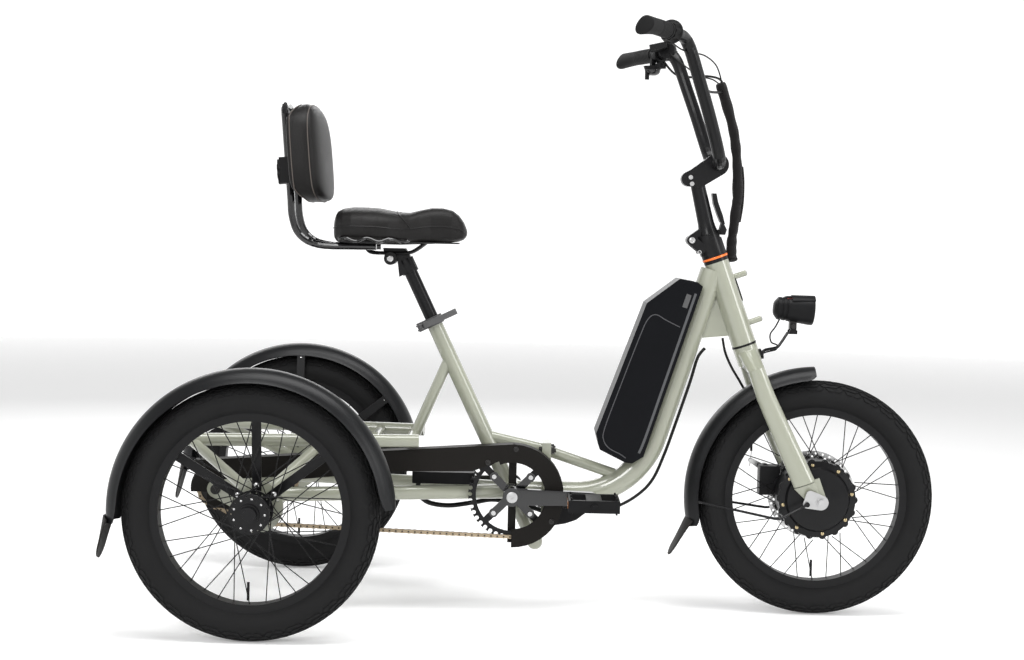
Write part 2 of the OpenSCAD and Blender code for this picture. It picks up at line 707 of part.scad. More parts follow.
module headlight_bracket() placed() color(black) {
    on_head() translate([25.2, -7, -34]) cube([4, 14, 14]);
    sweep(route([[985, 0, 522], [984, 0, 533], [990, 0, 540], [1012, 0, 545], [1020, 0, 553],
        [1035, 0, 577]], 3), 3, 8);
    difference() {
        translate([1036, -15, 574]) cube([16, 30, 8]);
        translate([1030, -11, 577]) cube([30, 22, 20]);
    }
    for (s = [-1, 1]) difference() {
        slab(s > 0 ? 11 : -15, s > 0 ? 15 : -11) hull() {
            translate([1044, 580]) circle(r = 6);
            translate([1044, 590]) circle(r = 6);
        }
        pin([1044, 590], -20, 20, 3.06);
    }
}
module headlight() placed() color(black) {
    pin([1044, 590], -18, 18, 3);
    translate([1038, -5, 586]) cube([12, 10, 14]);
    translate([1012, 0, 626]) rotate([0, 94, 0]) {
        cylinder(h = 68, r1 = 23, r2 = 29);
        translate([0, 0, -8]) cylinder(h = 8.1, r1 = 15, r2 = 23);
        translate([0, 0, 68]) cylinder(h = 5, r = 27);
    }
    translate([1018, -12, 646]) cube([58, 24, 6]);
}

module stem_base() placed() color(black) {
    difference() {
        on_head() union() {
            translate([0, 0, head_len + 13.3]) cylinder(h = 62, r = 25.5);
            translate([-26, -14, head_len + 20]) cube([20, 28, 22]);
        }
        on_head() translate([0, 0, head_len]) cylinder(h = 50, r = steerer_r + 0.05);
        on_head() translate([-40, -1.5, head_len + 12]) cube([30, 3, 18]);
        translate([832, -30, 762.9]) rotate([0, -13.8, 0]) cube([100, 60, 80]);
        slab(-13.2, 13.2) hull() {
            translate(fold_pin) circle(r = 14);
            translate([854, 777]) circle(r = 12);
        }
        slab(-6.5, 6.5) hull() {
            translate([878, 775]) circle(r = 8);
            translate([900, 779]) circle(r = 8);
        }
        pin([894, 779], -13, 13, 11);
        pin(fold_pin, -40, 40, 14);
    }
    for (s = [-1, 1]) difference() {
        slab(s > 0 ? 13 : -21, s > 0 ? 21 : -13) hull() {
            translate(fold_pin) circle(r = 10);
            translate([852, 744]) circle(r = 10);
        }
        pin(fold_pin, -40, 40, 4.5);
    }
    pin(fold_pin, -24, 24, 4.51);
    for (s = [206.8]) on_head() translate([-28, -18, s]) rotate([-90, 0, 0]) cylinder(h = 36, r = 3.5);
}

post_foot = [867, 772];
post_top = [841, 878];
module stem_post() placed() color(black) difference() {
    union() {
        translate([post_foot[0], 0, post_foot[1]]) rotate([0, -13.8, 0]) rotate_extrude()
            polygon([[0, 0], [21, 0], [18, 13], [16.5, 24], [14.5, 109], [0, 109]]);
        slab(-12.5, 12.5) hull() {
            translate(fold_pin) circle(r = 10);
            translate([852, 776]) circle(r = 9);
        }
        slab(-17, 17) hull() {
            translate([bar_at[0], bar_at[1]]) circle(r = 23);
            translate([842, 888]) circle(r = 21);
        }
        slab(-15, 15) hull() {
            translate([842, 888]) circle(r = 20);
            translate([823, 884]) circle(r = 15);
        }
        slab(-6, 6) hull() {
            translate([880, 776]) circle(r = 6);
            translate([894, 779]) circle(r = 5);
        }
    }
    pin(fold_pin, -40, 40, 4.56);
    pin([bar_at[0], bar_at[1]], -40, 40, 12.03);
    pin([894, 779], -10, 10, 3.06);
}
module stem_latch() placed() color(black) {
    pin([894, 779], -13, 13, 3);
    for (s = [-1, 1])
        slab(s > 0 ? 7 : -12, s > 0 ? 12 : -7)
            polygon([[888, 783], [892, 772.5], [900, 772.5], [903, 783], [893, 802]]);
    slab(-12, 12)
        polygon([[889, 798], [899, 794], [894, 812], [884, 838], [880, 856], [871, 856], [874, 836], [883, 812]]);
}

bar_route = [[880, 0, 914], [880, 30, 914], [879, 62, 917], [874, 88, 930], [864, 104, 962], [847, 117, 1016],
    [827, 130, 1074], [811, 140, 1120], [802, 148, 1140], [792, 162, 1152], [777.5, 192, 1155], [764, 222, 1155],
    [735, 286, 1155], [708, 346, 1155]];
module handlebar() placed() color(black) {
    pin([bar_at[0], bar_at[1]], -32, 32, 12);
    radii = [for (i = [0:39]) i < 4 ? 11.9 : i < 26 ? 12.7 : i < 29 ? 12 : 11.3];
    both() sweep(route([for (p = bar_route) [p[0], -p[1], p[2]]], 3), radii, 16, [1, 0, 0]);
}

// grip frame: origin at the inner end of the grip, z out along the bar
grip_in = [764, 222, 1155];
grip_sweep = atan(56 / 124);
module on_grip(side) translate([grip_in[0], side * grip_in[1], grip_in[2]])
    rotate([-side * 90, 0, 0]) rotate([0, side > 0 ? -grip_sweep : -grip_sweep, 0]) children();
module grip_solid(len, wing) difference() {
    union() {
        cylinder(h = len, r1 = 15.5, r2 = 16);
        hull() {
            translate([0, 0, len - 50]) cylinder(h = 1, r = 15, $fn = 32);
            translate([-9, wing * 8, len - 8]) cylinder(h = 7, r = 15, $fn = 32);
            translate([0, 0, len - 1]) cylinder(h = 1, r = 16, $fn = 32);
        }
    }
    translate([0, 0, -1]) cylinder(h = len - 4, r = 12.3);
}
module grips() placed() color(rubber) {
    on_grip(1) grip_solid(142, 1);
    on_grip(-1) translate([0, 0, 28]) grip_solid(114, -1);
}
module throttle() placed() color(rubber) on_grip(-1) difference() {
    union() {
        cylinder(h = 6, r = 23);
        translate([0, 0, 6]) cylinder(h = 18, r1 = 21, r2 = 17.5);
        for (i = [0:5]) rotate([0, 0, 60 * i]) translate([19.5, 0, 0]) cylinder(h = 18, r = 2.2);
    }
    translate([0, 0, -1]) cylinder(h = 40, r = 12.3);
}

module display() placed() color(black) difference() {
    union() {
        translate([766, 140, 1162]) rotate([0, -12, -8]) translate([-18, -22, -4]) cube([36, 44, 12]);
        translate([786, 150, 1158]) rotate([90, 0, -24]) translate([0, 0, -7]) cylinder(h = 14, r = 17);
    }
    sweep(route(bar_route, 3), 13, 16, [1, 0, 0]);
    translate([766, 140, 1162]) rotate([0, -12, -8]) translate([-10, 8, 3]) cylinder(h = 12, r = 4.4);
}
module display_button() placed() color(steel)
    translate([766, 140, 1162]) rotate([0, -12, -8]) translate([-10, 8, 4.8]) cylinder(h = 4.6, r = 4.1);

module controls() placed() color(black) on_grip(1) {
    difference() {
        union() {
            translate([0, 0, -30]) cylinder(h = 17, r = 16.5);
            translate([9, -9, -29]) cube([30, 21, 15]);
            translate([-4, 10, -28]) cube([12, 14, 12]);
            translate([2, 20, -22]) rotate([-90, 0, 0]) cylinder(h = 10, r = 12);
        }
        translate([0, 0, -60]) cylinder(h = 90, r = 12.4);
        translate([23, -3.2, -40]) cube([30, 9.4, 40]);
        translate([33, 0, -21.5]) rotate([-90, 0, 0]) translate([0, 0, -20]) cylinder(h = 60, r = 3.06);
    }
    difference() {
        union() {
            translate([0, 0, -12.8]) cylinder(h = 11, r = 15.5);
            translate([-14, 8, -12]) cube([10, 20, 9]);
            translate([-9, 25, -7.5]) rotate([-90, 0, 0]) cylinder(h = 15, r1 = 20, r2 = 14);
            translate([-26, 30, -10]) cube([8, 24, 5]);
        }
        translate([0, 0, -60]) cylinder(h = 90, r = 12.4);
    }
}
module brake_lever() placed() color(black) on_grip(1) {
    translate([33, -9, -21.5]) rotate([-90, 0, 0]) cylinder(h = 21, r = 3);
    translate([0, 1.5, 0]) rotate([90, 0, 0]) linear_extrude(8, center = true)
        polygon([[29, -26], [42, -26], [56, 0], [62, 30], [60, 62], [54, 100], [47, 99], [52, 62], [53, 30], [48, 4],
            [39, -16], [29, -18]]);
}

sleeve_run = [[884, 10, 1078], [899, 16, 1035], [914, 20, 985], [921, 24, 945], [925, 24, 904], [927, 24, 852],
    [925, 24, 832], [921, 24, 790], [918, 24, 765], [917, 21, 740], [919, 16, 722]];
module cable_sleeve() placed() color(black) sweep(route(sleeve_run, 3), 10, 10);

fork_run = [[930, 8, 690], [938, 12, 660], [905, 27, 560], [912, 30, 530], [926, 32, 500], [945, 38, 470],
    [962, 52, 440], [972, 84, 400], [978, 90, 350], [979, 88, 322]];
module fork_cables() placed() color(black) {
    sweep(route([for (i = [2:len(fork_run) - 1]) fork_run[i]], 3), 2.6, 8);
}

// ---------- seat ----------
module seatpost() placed() color(black) difference() {
    on_seat() translate([0, 0, 180]) cylinder(h = 335, r = post_r);
    on_seat() translate([0, 0, 170]) cylinder(h = 330, r = post_r - 2.4);
}
saddle_low = 744;
module saddle_plan(inset) hull() {
    for (s = [-1, 1]) {
        translate([165, s * 74]) circle(r = 52 - inset, $fn = 32);
        translate([215, s * 58]) circle(r = 48 - inset, $fn = 32);
    }
    translate([341, 0]) circle(r = 35 - inset, $fn = 32);
}
module saddle() placed() color(leather) {
    translate([0, 0, saddle_low]) linear_extrude(50) saddle_plan(0);
    translate([0, 0, saddle_low + 49.9]) linear_extrude(18) saddle_plan(14);
}
module saddle_rails() placed() color(black) {
    translate([0, 0, saddle_low - 3.1]) linear_extrude(2.9) hull() {
        for (s = [-1, 1]) translate([170, s * 70]) circle(r = 44, $fn = 32);
        translate([335, 0]) circle(r = 26, $fn = 32);
    }
    both() sweep(route([[168, -22, 742], [174, -22, 727], [186, -22, 720], [222, -22, 720], [256, -22, 721],
        [272, -22, 727], [292, -22, 742]], 3), 3.5, 8);
    difference() {
        union() {
            pin([222, 709], -29, 29, 13);
            slab(-15, 15) polygon([[212, 700], [236, 704], [240, 672], [276, 690], [252, 730], [206, 730]]);
            on_seat() translate([0, 0, 490]) cylinder(h = 30, r = 17);
        }
        on_seat() translate([0, 0, 300]) cylinder(h = 215.1, r = post_r + 0.02);
    }
}

tube_y = 60;
back_route = [[196, tube_y, 733], [150, tube_y, 733], [92, tube_y, 733], [58, tube_y, 741], [36, tube_y, 761],
    [25.71, tube_y, 792], [23.14, tube_y, 822], [20.74, tube_y, 850], [14.75, tube_y, 920], [11.32, tube_y, 960],
    [10.03, tube_y, 975], [7, tube_y - 6, 1000], [5, tube_y - 26, 1012], [5, 0, 1014]];
module backrest_tube() placed() color(black)
    both() sweep(route(back_route, 3), 7.5, 12, [1, 0, 0.3]);
module on_back() translate([18, 0, 882]) rotate([0, -4.9, 0]) children();
module back_plan(inset) hull() for (s = [-1, 1], z = [-1, 1])
    translate([z * (98 - 46) + 32, s * (140 - 46)]) circle(r = 46 - inset, $fn = 32);
module backrest_pad() placed() color(leather) on_back() {
    translate([26, 0, 0]) rotate([0, 90, 0]) rotate([0, 0, 180]) linear_extrude(40) back_plan(0);
    translate([65.9, 0, 0]) rotate([0, 90, 0]) rotate([0, 0, 180]) linear_extrude(12) back_plan(22);
}
module backrest_clamp() placed() color(black) on_back() {
    difference() {
        union() {
            translate([-17, -75, -26]) cube([34, 150, 52]);
            translate([17, -60, -50]) cube([8.7, 120, 150]);
        }
        for (s = [-1, 1]) translate([0, s * tube_y, -80]) cylinder(h = 200, r = 8.2);
        translate([-30, -80, -1.5]) cube([13.1, 1, 3]);
        rotate([0, 90, 0]) translate([0, 0, -30]) cylinder(h = 40, r = 4.06);
    }
}
module backrest_knob() placed() color(black) on_back() difference() {
    union() {
        rotate([0, 90, 0]) translate([0, 0, -29]) cylinder(h = 11.7, r = 26);
        rotate([0, 90, 0]) translate([0, 0, -20]) cylinder(h = 28, r = 4);
    }
    for (i = [0:7]) rotate([45 * i, 0, 0]) translate([-31, 0, 30]) rotate([0, 90, 0]) cylinder(h = 14, r = 7);
}

front_frame();
rear_frame();
rear_deck();
frame_bolts();
headset();
bearings();
seat_collar();
chain_guard();
drive_chains();
rear_fenders();
rear_fender_stays();
battery_rail();
controller();
frame_cables();
fork();
front_fender();
front_fender_stays();
front_axle();
brake_caliper();
headlight_bracket();
stem_base();
fork_cables();
stem_post();
handlebar();
grips();
display();
controls();
cable_sleeve();
tyre_front();
rim_front();
motor_hub();
brake_rotor();
tyre_rear_left();
rim_rear_left();
hub_rear_left();
tyre_rear_right();
rim_rear_right();
hub_rear_right();
chainring();
cranks();
pedal_left();
pedal_right();
jackshaft();
jackshaft_sprocket();
idler();
throttle();
brake_lever();
caliper_arm();
stem_latch();
saddle();
saddle_rails();
seatpost();
backrest_tube();
backrest_pad();
backrest_clamp();
backrest_knob();
seat_lever();
headlight();
battery();
display_button();
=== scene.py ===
import math
import bpy
import numpy as np
from mathutils import Matrix, Vector


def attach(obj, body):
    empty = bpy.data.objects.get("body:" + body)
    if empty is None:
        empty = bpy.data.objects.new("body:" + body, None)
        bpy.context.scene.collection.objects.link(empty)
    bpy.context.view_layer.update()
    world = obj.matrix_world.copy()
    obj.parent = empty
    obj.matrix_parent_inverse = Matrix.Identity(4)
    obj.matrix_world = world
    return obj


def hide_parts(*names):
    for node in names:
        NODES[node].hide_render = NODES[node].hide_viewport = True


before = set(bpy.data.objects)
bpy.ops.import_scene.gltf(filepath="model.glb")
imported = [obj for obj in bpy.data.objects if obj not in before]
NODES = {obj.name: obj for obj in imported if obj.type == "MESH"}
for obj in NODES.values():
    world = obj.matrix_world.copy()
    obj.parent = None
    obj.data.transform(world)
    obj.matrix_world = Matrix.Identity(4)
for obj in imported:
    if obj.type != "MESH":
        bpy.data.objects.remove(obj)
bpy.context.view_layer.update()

MID_X = 0.5245          # the frame's origin, measured from the rear axle
WHEELBASE, AXLE_Z, HALF_TRACK = 1100.0, 240.0, 375.0
HEAD_ANGLE, DOWN_TILT = 20.1, 17.7
HEAD_FOOT, BB, JACK, IDLER = (945.5, 551.5), (480.0, 240.0), (-112.0, 242.0), (-28.0, 190.0)


def at(p):
    """Trike millimetres, X from the rear axle, to frame metres."""
    return Vector((p[0] / 1000 - MID_X, p[1] / 1000, p[2] / 1000))


def on_head(n, s, y=0.0):
    """n in front of the head tube's middle line, s up it."""
    a = math.radians(HEAD_ANGLE)
    return (HEAD_FOOT[0] + n * math.cos(a) - s * math.sin(a), y,
            HEAD_FOOT[1] + n * math.sin(a) + s * math.cos(a))


# ---------- camera and light ----------
def aim(name, data, place, right, up, look):
    o = bpy.data.objects.new(name, data)
    bpy.context.scene.collection.objects.link(o)
    o.matrix_world = Matrix(((right.x, up.x, -look.x, place.x), (right.y, up.y, -look.y, place.y),
                             (right.z, up.z, -look.z, place.z), (0, 0, 0, 1)))
    return o


def camera():
    yaw, pitch, roll = 0.0056, 0.0536, 0.0232
    place = Vector((0.4921 - MID_X, -3.6541, 0.7644))
    level = Vector((math.cos(yaw), math.sin(yaw), 0))
    ahead = Vector((-math.sin(yaw), math.cos(yaw), 0))
    upright = Vector((0, 0, 1))
    look = ahead * math.cos(pitch) - upright * math.sin(pitch)
    over = upright * math.cos(pitch) + ahead * math.sin(pitch)
    right = level * math.cos(roll) + over * math.sin(roll)
    up = over * math.cos(roll) - level * math.sin(roll)
    data = bpy.data.cameras.new("camera")
    data.sensor_width, data.lens, data.clip_end = 36.0, 62.95, 100.0
    bpy.context.scene.camera = aim("camera", data, place, right, up, look)


def softbox(name, place, target, size, power):
    data = bpy.data.lights.new(name, "AREA")
    data.shape, data.size, data.size_y, data.energy = "RECTANGLE", size[0], size[1], power
    look = (Vector(target) - Vector(place)).normalized()
    side = look.cross(Vector((0, 0, 1)))
    side = side.normalized() if side.length > 1e-3 else Vector((1, 0, 0))
    aim(name, data, Vector(place), side, side.cross(look), look)


camera()
softbox("light_top", (0.2, -0.6, 3.2), (0, 0, 0.4), (3.4, 1.2), 95)
softbox("light_front", (-1.4, -3.8, 2.4), (0, 0, 0.5), (1.6, 1.0), 60)
softbox("light_right", (3.2, -1.8, 1.8), (0.2, 0, 0.5), (0.8, 2.0), 36)
softbox("light_back", (-1.0, 3.4, 2.2), (0, 0, 0.6), (3.0, 1.0), 36)
world = bpy.data.worlds.new("studio")
world.use_nodes = True
world.node_tree.nodes["Background"].inputs[0].default_value = (1.0, 1.0, 1.0, 1)
world.node_tree.nodes["Background"].inputs[1].default_value = 0.34
bpy.context.scene.world = world
bpy.context.scene.view_settings.view_transform = "Standard"


# ---------- materials ----------
def material(name, color, rough=0.5, metal=0.0, coat=0.0, grain=0.0, grain_scale=300.0, vary=0.12,
             vary_scale=9.0, wear=0.05, specular=0.5, sheen=0.0, pattern="noise"):
    m = bpy.data.materials.new(name)
    m.use_nodes = True
    t = m.node_tree
    b = t.nodes["Principled BSDF"]
    b.inputs["Metallic"].default_value = metal
    b.inputs["Coat Weight"].default_value = coat
    b.inputs["Coat Roughness"].default_value = 0.08
    b.inputs["Specular IOR Level"].default_value = specular
    b.inputs["Sheen Weight"].default_value = sheen
    coord = t.nodes.new("ShaderNodeTexCoord")
    big = t.nodes.new("ShaderNodeTexNoise")
    big.inputs["Scale"].default_value, big.inputs["Detail"].default_value = vary_scale, 5.0
    t.links.new(coord.outputs["Object"], big.inputs["Vector"])
    tint = t.nodes.new("ShaderNodeMix")
    tint.data_type = "RGBA"
    tint.inputs[6].default_value = (*[c * (1 - vary) for c in color], 1)
    tint.inputs[7].default_value = (*[min(1, c * (1 + vary)) for c in color], 1)
    t.links.new(big.outputs["Fac"], tint.inputs[0])
    t.links.new(tint.outputs[2], b.inputs["Base Color"])
    spread = t.nodes.new("ShaderNodeMapRange")
    spread.inputs[3].default_value = max(0.02, rough - wear)
    spread.inputs[4].default_value = min(1, rough + wear)
    t.links.new(big.outputs["Fac"], spread.inputs[0])
    t.links.new(spread.outputs[0], b.inputs["Roughness"])
    if grain:
        if pattern == "leather":
            fine = t.nodes.new("ShaderNodeTexVoronoi")
            fine.feature = "F1"
            out = fine.outputs["Distance"]
        elif pattern == "weave":
            fine = t.nodes.new("ShaderNodeTexWave")
            fine.wave_type, fine.bands_direction = "BANDS", "DIAGONAL"
            fine.inputs["Distortion"].default_value = 1.5
            out = fine.outputs["Fac"]
        else:
            fine = t.nodes.new("ShaderNodeTexNoise")
            fine.inputs["Detail"].default_value = 3.0
            out = fine.outputs["Fac"]
        fine.inputs["Scale"].default_value = grain_scale
        t.links.new(coord.outputs["Object"], fine.inputs["Vector"])
        bump = t.nodes.new("ShaderNodeBump")
        bump.inputs["Strength"].default_value = grain
        bump.inputs["Distance"].default_value = 0.001
        t.links.new(out, bump.inputs["Height"])
        t.links.new(bump.outputs["Normal"], b.inputs["Normal"])
    return m


PAINT = material("sage_paint", (0.275, 0.285, 0.222), 0.3, coat=1.0, grain=0.02, grain_scale=90, vary=0.03)
SATIN = material("satin_black", (0.0045, 0.0045, 0.005), 0.34, coat=0.1, grain=0.08, grain_scale=900,
                 vary=0.2, specular=0.16)
ALLOY = material("black_alloy", (0.006, 0.006, 0.0065), 0.42, grain=0.12, grain_scale=700, vary=0.2,
                 specular=0.18)
PLASTIC = material("black_plastic", (0.0055, 0.0055, 0.006), 0.46, grain=0.12, grain_scale=1100, vary=0.2,
                   specular=0.13)
GUARD = material("guard_plastic", (0.0075, 0.0065, 0.0055), 0.5, grain=0.1, grain_scale=1000, vary=0.2,
                 specular=0.12)
FENDER = material("fender_plastic", (0.0055, 0.0058, 0.0065), 0.38, grain=0.05, grain_scale=1300,
                  vary=0.15, specular=0.24)
GLOSS = material("gloss_black", (0.003, 0.003, 0.0035), 0.12, coat=0.5, specular=0.4)
STEEL = material("steel", (0.5, 0.5, 0.5), 0.24, metal=1.0, grain=0.05, grain_scale=400)
DARK = material("dark_steel", (0.03, 0.029, 0.028), 0.4, metal=0.7, grain=0.08, grain_scale=500)
BRASS = material("screw_brass", (0.42, 0.34, 0.2), 0.3, metal=1.0)
CHAIN = material("chain_steel", (0.36, 0.29, 0.2), 0.34, metal=0.85, vary=0.2, vary_scale=60)
PIN = material("chain_pin", (0.05, 0.042, 0.034), 0.35, metal=0.8)
RUBBER = material("rubber", (0.007, 0.007, 0.0072), 0.6, grain=0.1, grain_scale=800, vary=0.25,
                  specular=0.14)
TYRE = material("tyre_rubber", (0.0075, 0.0075, 0.0078), 0.68, grain=0.15, grain_scale=500, vary=0.3,
                vary_scale=20, specular=0.16)
FLAP = material("flap_rubber", (0.011, 0.0098, 0.009), 0.6, grain=0.1, grain_scale=700, vary=0.2,
                specular=0.2)
VINYL = material("vinyl", (0.0062, 0.0056, 0.0054), 0.44, grain=0.35, grain_scale=620, vary=0.2,
                 specular=0.2, pattern="leather")
PIPING = material("piping", (0.005, 0.0045, 0.0045), 0.4, grain=0.1, grain_scale=700, specular=0.3)
SLEEVE = material("sleeve_fabric", (0.008, 0.0072, 0.0072), 0.85, grain=0.5, grain_scale=420, sheen=0.1,
                  specular=0.15, pattern="weave")
CABLE = material("cable_skin", (0.0045, 0.0045, 0.0045), 0.38, vary=0.15, specular=0.2)
ORANGE = material("orange_ring", (0.85, 0.16, 0.01), 0.3, metal=0.2, coat=0.5, vary=0.04)
SILVER = material("silver_paint", (0.45, 0.45, 0.45), 0.35, metal=0.8, grain=0.05)
GREY = material("grey_plastic", (0.075, 0.075, 0.076), 0.45, grain=0.05, specular=0.3)
CASE = material("battery_case", (0.003, 0.0033, 0.0045), 0.34, coat=0.03, grain=0.06, grain_scale=1200,
                vary=0.2, specular=0.08)
LENS = material("lamp_lens", (0.6, 0.63, 0.65), 0.08, coat=1.0, vary=0.03)
AMBER = material("reflector", (0.35, 0.12, 0.02), 0.15, coat=1.0, grain=0.4, grain_scale=1200)
RED = material("red_trim", (0.22, 0.014, 0.01), 0.25, coat=0.6)


# ---------- building ----------
def piece(name, verts, faces, mat, body, smooth=True, sharp=None, node=None):
    """A mesh piece from trike millimetres."""
    me = bpy.data.meshes.new(name)
    me.from_pydata([at(v) for v in verts], [], faces)
    me.validate()
    me.update()
    o = bpy.data.objects.new(name, me)
    bpy.context.scene.collection.objects.link(o)
    me.materials.append(mat)
    for p in me.polygons:
        p.use_smooth = smooth
    if sharp is not None:
        me.set_sharp_from_angle(angle=math.radians(sharp))
    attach(o, body)
    if node:
        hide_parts(*([node] if isinstance(node, str) else node))
    return o


def grid_faces(rows, cols, wrap_rows=False, wrap_cols=True, base=0):
    f = []
    for i in range(rows if wrap_rows else rows - 1):
        for j in range(cols if wrap_cols else cols - 1):
            a, b = i * cols + j, i * cols + (j + 1) % cols
            c, d = ((i + 1) % rows) * cols + (j + 1) % cols, ((i + 1) % rows) * cols + j
            f.append((base + a, base + b, base + c, base + d))
    return f


def smooth_line(pts, n=8):
    """Catmull-Rom line through given points."""
    p = [np.array(q, float) for q in pts]
    out = []
    for i in range(len(p) - 1):
        a, b, c, d = p[max(i - 1, 0)], p[i], p[i + 1], p[min(i + 2, len(p) - 1)]
        for k in range(n):
            t = k / n
            out.append(0.5 * (2 * b + (c - a) * t + (2 * a - 5 * b + 4 * c - d) * t * t
                              + (3 * b - a - 3 * c + d) * t ** 3))
    out.append(p[-1])
    return out


def frames(line, ref=(0, 1, 0)):
    """Two cross vectors at each point of the line, carried along without twist."""
    out, u = [], None
    for i, p in enumerate(line):
        t = line[min(i + 1, len(line) - 1)] - line[max(i - 1, 0)]
        t = t / np.linalg.norm(t)
        if u is None:
            r = np.array(ref, float)
            if abs(r @ t) > 0.9:
                r = np.array((1, 0, 0), float)
            u = r - (r @ t) * t
        else:
            u = u - (u @ t) * t
        u = u / np.linalg.norm(u)
        out.append((p, u, np.cross(t, u), t))
    return out


def loft(rings):
    """Closed skin over rings of equal length."""
    n = len(rings[0])
    verts = [v for r in rings for v in r]
    faces = grid_faces(len(rings), n)
    faces += [tuple(range(n - 1, -1, -1)), tuple((len(rings) - 1) * n + k for k in range(n))]
    return verts, faces


def hoop(centre, u, w, radius, count):
    """Circle of points round a centre, in the plane of u and w."""
    return [centre + (u * math.cos(q) + w * math.sin(q)) * radius
            for q in np.linspace(0, 2 * math.pi, count, endpoint=False)]


def round_cap(end, radius, way, sides):
    """Rings that round off a tube's end, from its rim to its tip."""
    p, u, w, t = end
    bulge = 0.35 * radius * way
    return [hoop(p + t * bulge * math.sin(math.radians(a)), u, w, radius * math.cos(math.radians(a)), sides)
            for a in (25, 50, 78)]


def tube_mesh(line, radius, sides=16, round_end=True):
    """Tube along a line. The radius is a number, or a function of the share of the line passed."""
    fr = frames(line)
    size = radius if callable(radius) else (lambda share: radius)
    rings = [hoop(p, u, w, size(i / (len(fr) - 1)), sides) for i, (p, u, w, t) in enumerate(fr)]
    if round_end:
        start, end = round_cap(fr[0], size(0.0), -1, sides), round_cap(fr[-1], size(1.0), 1, sides)
        rings = start[::-1] + rings + end
    return loft(rings)


def tube(name, line, radius, mat, body, sides=16, node=None, round_end=True):
    v, f = tube_mesh(line, radius, sides, round_end)
    return piece(name, v, f, mat, body, node=node, sharp=50)


def turn_mesh(profile, origin, axis, steps=48):
    """Solid of revolution. profile is [(radius, along)], from one end to the other, in mm."""
    ax = np.array(axis, float)
    ax = ax / np.linalg.norm(ax)
    r = np.array((0, 0, 1.0)) if abs(ax[2]) < 0.9 else np.array((1.0, 0, 0))
    u = r - (r @ ax) * ax
    u = u / np.linalg.norm(u)
    w = np.cross(ax, u)
    o = np.array(origin, float)
    return loft([hoop(o + ax * along, u, w, max(rad, 0.02), steps) for rad, along in profile])


def turned(name, profile, origin, axis, mat, body, steps=48, sharp=35, node=None):
    v, f = turn_mesh(profile, origin, axis, steps)
    return piece(name, v, f, mat, body, sharp=sharp, node=node)


def merged(parts):
    verts, faces = [], []
    for v, f in parts:
        k = len(verts)
        verts += list(v)
        faces += [tuple(i + k for i in q) for q in f]
    return verts, faces


def soften(o, width, segments=2, angle=35):
    """Rounds a piece's hard edges."""
    b = o.modifiers.new("edge", "BEVEL")
    b.width, b.segments, b.limit_method, b.angle_limit = width, segments, "ANGLE", math.radians(angle)
    b.harden_normals = False
    for p in o.data.polygons:
        p.use_smooth = True
    o.data.set_sharp_from_angle(angle=math.radians(angle + 5))


def plate_mesh(outline, y0, y1):
    """Flat plate with an X-Z outline, from y0 to y1."""
    n = len(outline)
    verts = [(x, y0, z) for x, z in outline] + [(x, y1, z) for x, z in outline]
    faces = [tuple(range(n)), tuple(range(2 * n - 1, n - 1, -1))]
    faces += [(i, i + n, (i + 1) % n + n, (i + 1) % n) for i in range(n)]
    return verts, faces


def add_piece(name, parts, mat, body, sharp=35, node=None):
    v, f = merged(parts)
    return piece(name, v, f, mat, body, sharp=sharp, node=node)


def screws(name, profile, spots, steps, mat, body):
    """Turned heads, one at each (place, axis) of spots, as one piece."""
    add_piece(name, [turn_mesh(profile, place, axis, steps) for place, axis in spots], mat, body)


def around(centre, radius, angle, y):
    """Point on a circle in a side plane, its angle in degrees from the front."""
    a = math.radians(angle)
    return (centre[0] + radius * math.cos(a), y, centre[1] + radius * math.sin(a))


def cable(name, points, radius, mat, body, node=None, sides=12):
    """A free cable: a tube along given points."""
    line = smooth_line(points, 10)
    o = tube(name, line, radius, mat, body, sides=sides, node=node)
    return o


# ---------- floor and wall ----------
def glowing(name, color, strength):
    m = material(name, color, 0.9, vary=0.0, wear=0.0, specular=0.05)
    b = m.node_tree.nodes["Principled BSDF"]
    b.inputs["Emission Color"].default_value = (1, 1, 1, 1)
    b.inputs["Emission Strength"].default_value = strength
    return m


def studio():
    """Pale floor and a round white wall."""
    n, radius, high = 96, 9.0, 4.2
    turns = [2 * math.pi * k / n for k in range(n)]
    ring = [(radius * math.cos(q), radius * math.sin(q)) for q in turns]
    parts = {
        "floor": ([(x, y, 0.0) for x, y in ring], [tuple(range(n))],
                  glowing("floor_white", (0.9, 0.9, 0.9), 0.18)),
        "wall": ([(x, y, 0.0) for x, y in ring] + [(x, y, high) for x, y in ring],
                 [(k, (k + 1) % n, (k + 1) % n + n, k + n) for k in range(n)],
                 glowing("wall_white", (0.3, 0.3, 0.3), 0.95))}
    for name, (verts, faces, mat) in parts.items():
        me = bpy.data.meshes.new(name)
        me.from_pydata(verts, [], faces)
        o = bpy.data.objects.new(name, me)
        bpy.context.scene.collection.objects.link(o)
        me.materials.append(mat)


studio()

